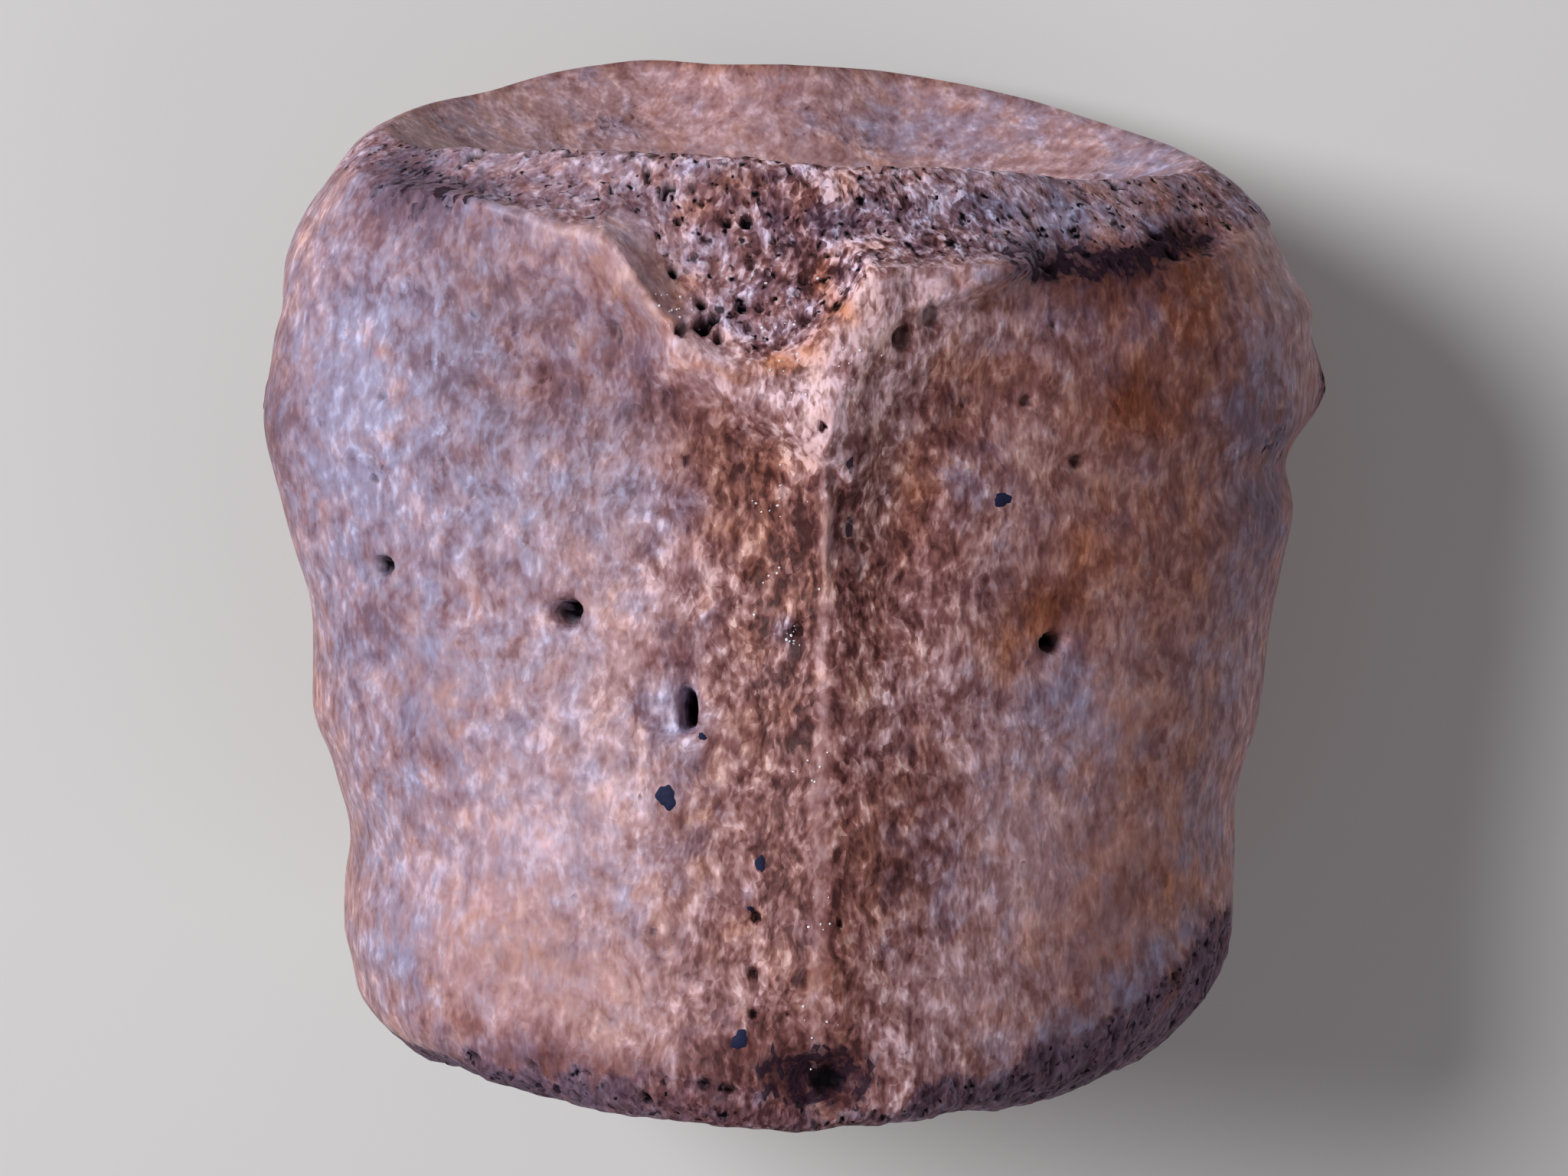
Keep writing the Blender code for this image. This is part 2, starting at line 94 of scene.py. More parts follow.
# Hollow ends and their rims
DISH_FRONT = 4.2 * MM
DISH_BACK = 3.4 * MM
DISH_POWER = 2.4
END_BOW_LEFT = 1.9 * MM
END_BOW_RIGHT = 2.4 * MM
BOW_MIDDLE = -3.0 * MM
BACK_CORNER = mm(10.0, 5.0, 1.05)
BACK_CORNER_FROM = -8.0 * MM
RIM_ROUND = 1.1 * MM
RIM_WORN_RIGHT = 1.9 * MM
RIM_WORN_AT = math.radians(58.0)
RIM_WORN_SPREAD = math.radians(26.0)
RIM_RADIUS = 15.0 * MM

# Keel and the two ridges it forks into
KEEL_X_BACK = 0.9 * MM
KEEL_X_FRONT = 1.45 * MM
KEEL_FADE = 2.6 * MM
KEEL_PAST_FORK = 1.2 * MM
KEEL_LOW_BEHIND = -4.0 * MM
KEEL_FULL_BEFORE = 3.5 * MM
KEEL_LOW_SHARE = 0.35
ROOF_ROUNDING = 0.45 * MM
ROOF_ROUNDING_WIDTH = 1.8 * MM
ROOF_ROUNDED = mm(4.0, 0.5)
KEEL_LEFT_SLOPE = 2.4
KEEL_SHARPNESS = 1.05
FORK = mm(1.4, 4.2)
LEFT_KNOB = mm(-6.0, 10.6)
LEFT_RIDGE = (LEFT_KNOB, mm(-4.7, 9.0), mm(-3.8, 7.7), mm(-2.7, 6.7), mm(-1.4, 5.9))
RIGHT_RIDGE = (mm(1.6, 5.5), mm(2.5, 7.2), mm(3.1, 8.8), mm(3.2, 10.0))
RIDGES = LEFT_RIDGE + (FORK,) + RIGHT_RIDGE
LEFT_RIDGE_TAIL = (LEFT_KNOB, mm(-10.0, 11.7))
RIDGE_OUTER_WIDER = 0.95 * MM
RIDGE_OUTER_WIDENS = mm(1.3, 2.2)
RIDGE_OUTER_SHARPNESS = 1.25
RIDGE_INNER = (2.4 * MM, 2.0)
RIDGE_TAIL_SHARE = 0.5
SIDE_FACET_HEIGHT = 0.95 * MM
SIDE_FACET_LEFT = mm(2.0, 2.6)
SIDE_FACET_RIGHT = mm(8.3, 7.4)
SIDE_FACET_FOOT = 7.0 * MM
SIDE_FACET_FOOT_SLOPE = 0.8 * MM
SIDE_FACET_RISE = 0.4

# Spongy bone laid bare in front of the ridges: where it starts at each x, and how deep it is worn
BARE_EDGE_X = (-16.0, -10.0, -6.1, -5.4, -4.3, -3.2, -2.0, -0.5, 0.6, 1.8, 2.6, 7.4, 8.4, 13.5, 16.0)
BARE_EDGE_Y = (12.6, 11.9, 11.0, 10.6, 8.9, 7.6, 6.9, 6.8, 7.4, 8.3, 9.9, 9.9, 9.3, 9.7, 10.6)
BARE_STEP = 0.35 * MM
BARE_START = 7.0 * MM
BARE_SLOPE = 0.33

# Hollows beside the keel and the ridges: middle, spread and depth
HOLLOWS = (
    (mm(-1.7, 1.6), mm(1.8, 4.6), 0.60 * MM),
    (mm(-0.7, -5.5), mm(1.2, 10.0), 0.30 * MM),
    (mm(-5.9, 6.0), mm(1.9, 2.2), 0.50 * MM),
    (mm(3.4, 1.8), mm(1.4, 4.6), 0.65 * MM),
    (mm(5.6, 5.6), mm(2.2, 1.6), 0.35 * MM),
    (mm(0.9, -15.9), mm(1.7, 1.5), 0.90 * MM),
)

# Broken roots of the side processes: side, middle along and up, spread along and up, and reach
SIDE_STUMPS = (
    (-1, mm(4.6, 9.5), mm(2.3, 2.4), 1.1 * MM),
    (1, mm(4.6, 8.0), mm(3.0, 2.6), 1.2 * MM),
)

# Swells and dips of the flanks: side, place along the bone, spread, and how far out
FLANK_SWELLS = (
    (-1, 8.3 * MM, 1.0 * MM, -0.35 * MM),
    (-1, 4.3 * MM, 1.9 * MM, 0.40 * MM),
    (-1, -1.6 * MM, 2.0 * MM, -0.30 * MM),
    (-1, -5.8 * MM, 1.0 * MM, 0.20 * MM),
    (-1, -9.8 * MM, 1.5 * MM, -0.35 * MM),
    (-1, -15.4 * MM, 1.0 * MM, 0.35 * MM),
    (1, 11.5 * MM, 2.4 * MM, 0.50 * MM),
    (1, 2.6 * MM, 1.2 * MM, -0.70 * MM),
    (1, -2.4 * MM, 3.5 * MM, -0.30 * MM),
    (1, -8.9 * MM, 1.6 * MM, -0.25 * MM),
)

# Back of the bone: broken roots of the arch, which it rests on, with the floor of the canal between
ARCH_ROOTS = (
    (mm(-7.2, -0.5), mm(2.9, 8.6), 3.7 * MM),
    (mm(6.8, -0.5), mm(2.9, 8.6), 3.4 * MM),
)
CANAL_MIDDLE = -0.4 * MM
CANAL_HALF_WIDTH = 3.1 * MM
CANAL_DEPTH = 2.0 * MM
ROOT_END_POWER = 5
ROOT_SIDE_POWER = 3

# Turns round the section, from 0 at the keel, where the relief of each part starts and is full
TURNS = 721
UNDERSIDE_SHOWS = (1.75, 1.15)
BACK_SHOWS = (1.9, 2.4)
STUMPS_START = (0.8, 1.3)
STUMPS_END = (2.9, 2.3)

# Wear: size of its bumps and how far they stand
WEAR = (mm(6.0, 0.34), mm(2.6, 0.16))
WEAR_SEED = 11
WEAR_UNDERSIDE = 0.25
WEAR_ENDS = 0.8

# Rings along the bone and columns around it
RINGS_FRONT_DISH = 26
RINGS_FRONT_RIM = 8
RINGS_FORK = 90
RINGS_SIDE = 127
RINGS_BACK_RIM = 9
RINGS_BACK_DISH = 14
FRONT_RINGS = RINGS_FRONT_DISH + RINGS_FRONT_RIM + RINGS_FORK
RINGS = FRONT_RINGS + RINGS_SIDE + RINGS_BACK_RIM + RINGS_BACK_DISH
FORK_ZONE_END = 3.6 * MM
COLUMNS = 356
COLUMN_SHARES = (0.0, 0.42, 0.70, 1.0)
COLUMN_REACH = mm(0.0, 8.5, 20.0)

# Openings for vessels, as x, y, half width across and along, and depth
FORAMINA = (
    (-7.1, -1.2, 0.46, 0.44, 1.1), (-3.2, -4.1, 0.30, 0.62, 1.4), (-13.2, -0.1, 0.30, 0.34, 0.5),
    (8.6, -2.3, 0.40, 0.34, 0.9), (9.4, 3.5, 0.26, 0.26, 0.35), (7.7, 5.5, 0.22, 0.20, 0.25),
    (1.1, 5.0, 0.13, 0.15, 0.5), (-1.0, -10.6, 0.16, 0.18, 0.4), (-1.1, -12.3, 0.15, 0.17, 0.4),
    (-1.1, -13.6, 0.16, 0.16, 0.4), (0.0, -13.6, 0.13, 0.13, 0.3), (1.7, -10.7, 0.13, 0.16, 0.3),
    (-4.3, -11.2, 0.15, 0.15, 0.3), (0.3, -1.5, 0.16, 0.20, 0.4), (0.45, -1.1, 0.12, 0.12, 0.3),
    (-5.5, 7.8, 0.20, 0.28, 0.2), (-3.9, 5.7, 0.16, 0.24, 0.25), (-3.2, 3.7, 0.14, 0.20, 0.2),
    (3.7, 7.7, 0.36, 0.50, 0.32), (4.6, 8.3, 0.28, 0.36, 0.25), (6.2, 8.6, 0.34, 0.18, 0.12),
    (-2.65, 8.1, 0.27, 0.25, 0.7), (-3.3, 8.0, 0.20, 0.20, 0.6), (-2.15, 7.7, 0.18, 0.20, 0.6),
    (0.6, 8.25, 0.14, 0.13, 0.45), (-2.3, 8.3, 0.16, 0.16, 0.5), (-1.2, 8.0, 0.15, 0.13, 0.4),
    (-0.9, 8.6, 0.17, 0.15, 0.5),
)

# Soft patches of colour on the underside, as x, y, spread across and along, and strength
PATCHES = {
    # Lavender: a grey-lilac bloom; the broad patches on the left flank also paint the cool tint of the
    # light from the left
    "lavender": (
        (-13.8, 5.6, 3.8, 6.4, 1.0), (-9.6, 2.6, 3.0, 3.0, 0.6), (-10.0, -8.0, 3.0, 4.0, 0.25),
        (-10.6, 7.4, 2.6, 3.6, 0.8), (-14.0, -2.0, 2.8, 6.0, 0.65), (-13.6, -10.0, 2.0, 4.0, 0.5),
        (-5.8, 4.6, 2.6, 3.8, 0.6), (-10.0, -3.0, 3.6, 5.0, 0.4), (-5.4, -9.0, 3.0, 4.0, 0.3),
        (-3.7, -3.9, 0.9, 1.2, 0.8), (-3.2, -6.0, 0.6, 1.3, 0.8), (0.1, -1.9, 0.5, 0.7, 0.9),
        (9.2, -3.5, 0.9, 0.9, 1.0), (8.4, -5.0, 2.0, 2.2, 0.55), (5.9, 3.2, 0.9, 1.1, 0.6),
        (4.6, -9.4, 1.4, 2.4, 0.5), (14.6, -5.0, 1.2, 4.0, 0.25), (7.6, 8.4, 3.0, 1.2, 0.3),
        (-8.0, 12.0, 4.0, 1.4, 0.4), (6.3, 11.4, 3.4, 0.9, 1.0), (12.4, 10.6, 1.4, 0.9, 1.0),
        (12.0, 8.2, 1.0, 0.8, 0.6), (1.0, 11.2, 2.2, 1.0, 0.6), (13.4, -10.6, 0.9, 2.4, 1.0),
        (11.4, -13.6, 1.6, 1.1, 1.0), (8.6, -15.2, 2.0, 0.9, 1.0), (-12.6, -13.2, 1.2, 1.2, 0.6),
        (-9.0, -15.6, 2.4, 0.6, 0.6), (-4.8, 2.2, 1.4, 1.0, 0.6), (-6.9, -1.8, 0.9, 1.2, 0.5),
        (2.8, 11.4, 1.6, 0.8, 0.7), (15.6, 4.6, 1.2, 4.0, 0.4), (-2.6, -2.0, 1.0, 1.0, 0.4),
        (14.6, -2.0, 1.0, 3.0, 0.3), (8.6, 11.0, 2.6, 1.0, 0.9), (-10.6, 12.4, 2.2, 1.0, 0.4),
        (5.3, 11.3, 1.4, 0.8, 0.5), (-12.6, 12.2, 2.0, 1.2, 1.0), (-6.8, 8.8, 1.4, 1.0, 0.5),
        (16.4, 2.4, 1.5, 4.4, 1.0), (-17.2, 4.6, 1.4, 3.0, 1.0), (-0.4, 11.6, 1.6, 0.8, 0.5),
        (-4.8, 6.8, 1.0, 1.4, 0.5), (-12.8, -13.4, 1.6, 1.6, 0.5), (2.6, 10.9, 1.8, 0.9, 0.5),
        (8.4, -3.0, 1.0, 1.0, 0.4),
    ),
    # Umber is mostly stain; the patches under the step to the spongy bone at the right, x 9.8 to 13.4, and
    # on the right stump are partly painted shade
    "umber": (
        (0.2, 9.9, 1.4, 0.9, 0.2), (4.6, 11.0, 1.4, 0.8, 0.2), (1.0, -7.4, 1.2, 1.8, 0.6),
        (5.6, -7.0, 0.9, 0.9, 0.4), (8.9, -1.2, 0.6, 0.9, 0.6), (-4.6, 6.6, 1.0, 1.0, 0.55),
        (-3.4, 5.3, 1.1, 1.0, 0.6), (-2.0, 4.3, 1.1, 0.9, 0.65), (-0.7, 3.4, 1.0, 0.9, 0.5),
        (-0.9, 1.9, 1.1, 1.1, 0.6), (-5.0, 4.4, 2.4, 2.4, 0.3), (-5.4, 7.4, 1.0, 1.2, 0.4),
        (-9.4, 8.8, 2.4, 1.4, 0.4), (3.9, 0.9, 0.9, 1.3, 0.85), (5.2, 5.2, 1.1, 0.9, 0.45),
        (-3.6, -2.4, 1.0, 1.0, 0.35), (-1.6, -14.8, 1.8, 1.2, 1.0), (-3.0, -12.8, 6.5, 2.2, 0.35),
        (-7.6, -15.8, 4.2, 0.8, 0.65), (10.6, -12.6, 3.0, 3.0, 0.22), (6.4, -15.2, 1.2, 0.8, 0.2),
        (9.8, 8.9, 2.6, 0.8, 0.7), (-12.8, 12.0, 2.0, 0.9, 0.4), (2.8, -7.0, 2.2, 5.0, 0.3),
        (8.8, -9.5, 2.0, 1.6, 0.1), (5.0, 4.4, 1.2, 0.9, 0.55), (0.4, 9.4, 1.4, 1.4, 0.4),
        (-0.2, 2.2, 0.8, 1.4, 0.35), (12.4, 9.6, 2.2, 0.8, 0.6), (9.4, 14.0, 3.6, 0.8, 0.4),
        (-9.4, 5.6, 2.0, 1.4, 0.3), (-11.6, 11.6, 2.4, 1.6, 0.35), (-3.2, -2.4, 1.4, 1.4, 0.25),
        (3.7, 0.4, 1.0, 1.4, 0.3), (4.1, -5.4, 1.1, 1.4, 0.35), (-0.6, 1.6, 0.7, 1.0, 0.4),
        (8.9, -1.4, 0.9, 0.9, 0.4), (11.0, 9.4, 1.8, 0.7, 0.6), (13.4, 10.0, 1.2, 0.7, 0.5),
        (7.2, 6.2, 1.6, 1.2, 0.2), (10.6, 5.0, 0.9, 0.9, 0.3), (4.0, 0.6, 0.9, 1.2, 0.3),
        (-2.8, 5.0, 1.2, 1.0, 0.25), (16.4, 2.4, 1.3, 4.2, 0.55), (-17.4, 4.6, 1.2, 2.8, 1.0),
        (-7.6, 5.2, 1.4, 1.4, 0.25), (-0.2, 11.3, 1.6, 0.9, 0.5), (3.8, -8.6, 1.2, 2.0, 0.35),
        (11.4, 6.0, 1.3, 1.0, 0.45), (1.9, 2.6, 0.5, 2.4, 0.2),
    ),
    "ochre": (
        (-1.3, 3.4, 1.9, 2.4, 1.0), (-2.6, 4.2, 1.6, 1.6, 0.2), (-0.7, 0.2, 1.6, 2.6, 0.85),
        (-0.8, -4.2, 1.4, 3.4, 0.6), (-0.6, -9.6, 1.2, 4.0, 0.45), (-5.6, 6.0, 2.8, 3.0, 0.15),
        (-8.6, 8.8, 2.6, 1.8, 0.2), (2.9, 2.0, 1.5, 3.6, 0.5), (6.6, 5.2, 2.8, 2.2, 0.6),
        (4.8, 0.8, 2.6, 3.2, 0.35), (2.6, -4.4, 1.5, 4.6, 0.2), (11.6, 5.2, 3.4, 3.4, 0.55),
        (8.6, -0.6, 2.6, 1.8, 0.5), (1.2, -13.0, 1.8, 2.6, 0.6), (12.4, -6.4, 3.2, 3.2, 0.4),
        (2.6, -9.6, 1.4, 3.4, 0.4), (13.6, 0.6, 2.2, 4.0, 0.5), (-8.6, -12.8, 3.6, 2.8, 0.35),
        (-11.8, -4.0, 1.8, 3.0, 0.5), (-2.8, -8.4, 1.6, 2.8, 0.7), (4.4, 3.8, 1.2, 1.4, 0.5),
        (11.0, 1.6, 1.8, 2.0, 0.6), (3.2, -8.8, 1.2, 1.6, 0.6), (-2.4, 12.2, 2.0, 1.6, 0.6),
        (13.6, 6.4, 1.6, 1.6, 0.7), (-13.4, -1.8, 1.2, 1.6, 0.6), (-5.6, 9.9, 0.9, 1.1, 0.5),
        (-4.4, 8.6, 0.9, 1.1, 0.5), (3.8, -8.4, 1.2, 2.0, 0.3), (11.2, -11.0, 1.4, 0.7, 0.4),
    ),
    "rust": (
        (11.2, 5.0, 1.5, 1.2, 1.0), (8.0, -1.2, 1.7, 1.1, 0.9), (7.0, -2.8, 0.9, 1.2, 0.6),
        (6.0, 6.6, 2.0, 0.9, 0.5), (4.2, 2.9, 0.9, 0.9, 0.8), (10.0, 0.9, 1.4, 1.2, 0.6),
        (-0.6, 3.1, 1.3, 1.6, 0.3), (-1.2, -0.2, 1.4, 1.4, 0.55), (13.2, -10.6, 1.5, 1.0, 0.5),
        (-3.0, 0.9, 1.0, 0.6, 0.35), (13.8, 8.0, 1.8, 2.4, 0.7), (-1.8, 6.9, 0.8, 0.35, 1.0),
        (-0.4, 7.0, 0.9, 0.4, 1.0), (0.8, 7.5, 0.7, 0.5, 1.0), (1.7, 8.4, 0.5, 0.6, 0.8),
        (1.6, 11.2, 3.0, 0.8, 0.2), (12.6, -1.0, 3.0, 5.0, 0.45), (12.0, -9.0, 2.8, 4.0, 0.45),
        (9.4, -13.0, 3.2, 2.0, 0.3), (12.4, 9.0, 2.6, 2.2, 0.5), (11.4, 13.0, 3.0, 1.6, 0.5),
        (-1.0, 11.6, 1.6, 0.9, 0.5), (-7.6, -12.4, 2.4, 2.0, 0.1), (5.4, 9.3, 1.6, 0.6, 0.3),
        (-3.5, 8.8, 0.6, 1.3, 0.6), (1.3, 9.3, 0.5, 0.8, 0.8),
    ),
    # Pale is paler bone in most patches; the narrow ones along the outer slope of the right ridge and along
    # the wall inside the left ridge are painted light that lifts slopes lying in shade
    "pale": (
        (0.1, 5.7, 1.7, 0.8, 1.0), (1.9, 7.6, 0.6, 1.6, 1.0), (5.0, 9.2, 2.0, 0.5, 0.75),
        (-7.4, -8.4, 3.0, 4.0, 0.6), (-6.4, -13.2, 3.6, 1.8, 0.7), (4.4, -12.6, 3.0, 2.0, 0.45),
        (10.2, -10.2, 2.8, 1.8, 0.5), (-10.4, -10.6, 2.6, 2.6, 0.5), (-4.6, -1.8, 2.0, 1.8, 0.35),
        (7.4, -8.4, 2.4, 2.4, 0.35), (-3.2, 8.9, 1.2, 0.8, 0.7), (-2.0, 10.6, 3.2, 0.8, 0.15),
        (-4.9, 10.5, 0.6, 0.8, 0.4), (-4.0, 9.2, 0.6, 0.8, 0.6), (-3.0, 8.0, 0.6, 0.7, 0.8),
        (2.9, 6.6, 1.2, 1.6, 0.5), (2.0, 3.6, 0.6, 1.4, 0.4), (1.6, -4.0, 1.6, 0.6, 0.5),
        (-14.6, 5.0, 2.4, 4.0, 0.45), (10.2, -4.8, 1.6, 1.6, 0.5), (-9.8, 13.6, 3.0, 0.7, 0.8),
        (-4.0, 13.2, 3.4, 0.8, 0.6), (5.4, 12.7, 3.4, 0.7, 0.7), (9.6, 12.3, 2.4, 0.6, 0.5),
        (4.6, 8.3, 1.5, 0.7, 0.7), (2.6, 6.6, 0.6, 1.4, 0.6), (2.0, 4.6, 0.5, 1.2, 0.5),
        (-4.2, 9.6, 0.9, 1.4, 0.7), (-2.8, 8.6, 0.8, 0.9, 0.4), (0.2, 6.0, 1.0, 0.8, 0.6),
        (11.0, -5.2, 1.2, 1.6, 0.4), (-10.6, -12.0, 2.4, 2.0, 0.4), (-11.4, -4.0, 1.4, 2.4, 0.4),
        (-9.8, 14.5, 3.6, 0.7, 0.8), (6.0, 12.4, 0.9, 0.7, 0.7), (2.3, 5.6, 0.5, 1.8, 0.45),
        (-0.9, 5.5, 0.8, 0.6, 0.7), (11.6, 12.2, 1.6, 0.6, 0.6), (-11.6, -3.4, 1.4, 2.0, 0.3),
        (9.0, 11.3, 1.6, 0.6, 0.5), (7.8, -8.6, 1.3, 1.3, 0.35), (10.6, -12.0, 1.1, 0.9, 0.5),
    ),
    # Grime is dark dirt in places and elsewhere painted shade: in the recess under the step to the spongy
    # bone at the right, in the pit at the keel's end, round the vessel openings by the ridges, in the thin
    # strips just right of the keel's crest, on the right stump and on the bevel of the back rim at the
    # lower right
    "grime_and_shade": (
        (-11.9, 12.4, 2.0, 0.9, 0.72), (-9.6, 12.7, 1.0, 0.5, 0.6), (8.7, 9.9, 1.4, 0.55, 1.0),
        (10.7, 9.4, 1.4, 0.55, 1.0), (12.5, 10.0, 1.5, 0.55, 1.0), (1.0, -15.9, 1.5, 0.7, 1.0),
        (-0.4, -15.3, 0.9, 0.5, 0.9), (2.4, -15.9, 1.2, 0.55, 0.9), (-5.0, -16.3, 0.8, 0.35, 0.7),
        (3.7, 7.7, 0.5, 0.6, 0.5), (4.7, 8.3, 0.4, 0.5, 0.35), (-5.5, 7.8, 0.5, 0.6, 0.35),
        (2.0, 3.4, 0.35, 2.4, 0.25), (1.9, 1.6, 0.22, 1.6, 0.5), (2.1, 4.4, 0.2, 0.8, 0.45),
        (1.6, -0.6, 0.2, 0.9, 0.7), (0.0, -15.2, 0.8, 0.7, 0.6), (2.2, -15.0, 0.9, 0.5, 0.5),
        (7.4, 10.3, 0.9, 0.5, 0.8), (1.2, -15.6, 1.6, 1.0, 0.8), (11.2, 9.7, 1.6, 0.6, 0.8),
        (13.6, 10.2, 0.9, 0.6, 0.8), (16.6, 2.4, 1.0, 3.6, 0.4), (9.2, -14.4, 0.9, 0.5, 0.5),
        (12.9, -12.0, 0.7, 0.9, 0.4),
    ),
}

# Fine relief: the hollow round the oval opening, a fine groove beside the keel and the pit at its end
OVAL_HOLLOW = (mm(-3.75, -3.7), mm(1.25, 1.6), 0.24 * MM)
OVAL_HOLLOW_WALL = (1.0, 0.6)
GROOVE_X = -1.07 * MM
GROOVE_Y = mm(-16.0, -10.0)
GROOVE_FADE = 0.5 * MM
GROOVE_HALF_WIDTH = 0.09 * MM
GROOVE_SHARPNESS = 1.5
GROOVE_DEPTH = 0.07 * MM
KEEL_END_PIT = (mm(1.2, -15.7), mm(1.2, 0.55), 0.55 * MM)
PIT_SHADE = (0.62, 0.87)
UNDERSIDE_FROM = 0.3

# Wall and dark floor of a vessel opening, the dark floor being painted shade: shares of its half width
# where each starts and is full, and the depth in mm from which the floor is fully dark
OPENING_WALL = (1.35, 0.40)
OPENING_SHADE = (1.02, 0.67)
FULLY_DARK_DEPTH = 0.5

# Large pores of the spongy bone: share of the pore spacing, value above which a cell is open, and seed
LARGE_PORES = ((0.85, -0.50, 41), (0.48, -0.65, 51))
PORE_RADIUS = 0.20
PORE_RADIUS_VARIES = 0.12
PORE_WALL = 0.09 * MM
CELL_WANDER = 0.42

# Layers of bumps, each as their height, their width and a seed
KEEL_WANDER = ((0.10 * MM, 2.2 * MM, 61),)
RIDGE_SWAY = (0.16 * MM, 1.3 * MM, 62)
PATCH_SWAY = (0.45 * MM, 1.6 * MM, 95)
BARE_EDGE_BUMPS = ((0.5 * MM, 1.1 * MM, 71), (0.25 * MM, 0.45 * MM, 72))
OPENING_EDGE_BUMPS = ((0.13, 0.5 * MM, 81), (0.12, 0.22 * MM, 82))
PIT_EDGE_BUMPS = ((0.30, 0.5 * MM, 38), (0.25, 0.25 * MM, 39))
SPONGY_LUMPS = ((0.11 * MM, 1.5 * MM, 31), (0.07 * MM, 0.7 * MM, 32), (0.045 * MM, 0.33 * MM, 33))
DENSE_SWELLS = ((0.05 * MM, 2.6 * MM, 34), (0.014 * MM, 0.8 * MM, 35))
CREST_ROUGHNESS = ((0.06 * MM, 0.5 * MM, 36), (0.035 * MM, 0.25 * MM, 37))

# Width of the smooth slope inside the left ridge, and where along x it starts and ends
SMOOTH_SLOPE = (0.75 * MM, mm(-6.4, -5.2), mm(-1.0, -2.2))

# Where bare bone fades in: measures at which it starts and is full, and how far its bumps move them
BAND_EDGE = 0.35 * MM
BAND_BUMPS = 0.35
BAND_UNDER = (0.02, 0.20)
BAND_UNDER_BUMPS = 4.0 * MM
RIM_OUTWARD = (0.86, 0.94)
RIM_OUTWARD_BUMPS = 8.0 * MM
STUMP_BARE = (0.42, 0.67)
STUMP_BUMPS = 1.7 * MM
ROOTS_BARE = mm(0.55, 0.25)
ROOTS_BUMPS = 0.5

# Strip worn bare along the back rim and the softness of its edge, and where it is wider: turn from the
# keel with the right side positive, spread, how much wider and how much softer
RIM_STRIP = 0.6 * MM
RIM_STRIP_SOFT = 0.3 * MM
RIM_STRIP_WIDER = (
    (-0.55, 0.55, 1.1 * MM, 0.0),
    (0.95, 0.50, 1.7 * MM, 0.6 * MM),
    (1.30, 0.28, 3.3 * MM, 0.6 * MM),
)

# Stains at random away from the underside
RANDOM_STAINS = ("lavender", "ochre", "rust")
RANDOM_STAIN_SIZE = 4.2 * MM
RANDOM_STAIN_SEED = 91
RANDOM_STAIN_LEVEL = 0.35
RANDOM_STAIN_SWING = 0.9
RANDOM_STAIN_STRENGTH = 0.55

# Pale line rubbed along the crest of the keel: half width, widening towards the back, bumps and ends
RUBBED_HALF_WIDTH = 0.25 * MM
RUBBED_WIDER = 0.08 * MM
RUBBED_WIDENS = mm(-2.0, -8.0)
RUBBED_EDGE_BUMPS = ((0.07 * MM, 0.7 * MM, 64),)
RUBBED_SHARPNESS = 3.0
RUBBED_END = mm(4.4, 3.4)
RUBBED_LEVEL = 0.85
RUBBED_GRAIN = ((0.20, 0.35 * MM, 65),)
RUBBED_PALE = 0.9

# Dark stain on the sides of the keel, weaker on the right and weakest there in front
KEEL_STAIN_HALF_WIDTH = 1.7 * MM
KEEL_STAIN_END = mm(3.6, 2.2)
KEEL_STAIN_RIGHT = 0.45
KEEL_STAIN_RIGHT_BEHIND = 0.35
KEEL_STAIN_DEEPENS = mm(0.5, -4.0)

# Wide zone of strong grain along the keel, weaker towards the back end
GRAIN_HALF_WIDTH = 4.5 * MM
GRAIN_BACK_LEVEL = 0.7
GRAIN_STRENGTHENS = mm(-8.0, 0.0)
GRAIN_LOST_ON_CREST = 0.7

# Strengths of the colours on the far hollow's wall, the bare bone, the worn back rim and the stumps; the
# dark on the rim's edge and on the stumps is partly painted shade
FAR_WALL_PALE = 0.25
FAR_WALL_UNSTAINED = 0.8
BARE_LAVENDER = 0.45
RIM_LAVENDER = ((0.60, mm(1.0, 6.0)), (0.50, mm(-4.0, -7.0)))
RIM_EDGE = (0.1, 0.9)
RIM_INNER_LEVEL = 0.4
RIM_GRIME_AND_SHADE = 0.45
RIM_UMBER_AND_SHADE = 0.60
STUMP_GRIME_AND_SHADE = 0.6
STUMP_DARKENS = (0.15, 0.8)

# Flat blue-grey mineral fills, as x, y, half width across and along, and turn in degrees
BLUE_FILLS = (
    (-3.85, -6.9, 0.40, 0.34, 20),
    (-0.85, -8.9, 0.17, 0.30, -35),
    (-1.5, -14.4, 0.32, 0.27, 10),
    (6.9, 2.4, 0.24, 0.34, -15),
    (-2.7, -4.95, 0.12, 0.14, 0),
    (-1.15, -10.35, 0.12, 0.14, 40),
)

# Waves round the outline of a fill: how many, turn from fill to fill, and height
FILL_WAVES = ((2, 1.0, 0.12), (3, 2.0, 0.12), (7, 3.0, 0.06))
FILL_HALF_THICKNESS = 0.06 * MM
FILL_SUNK = 0.02 * MM

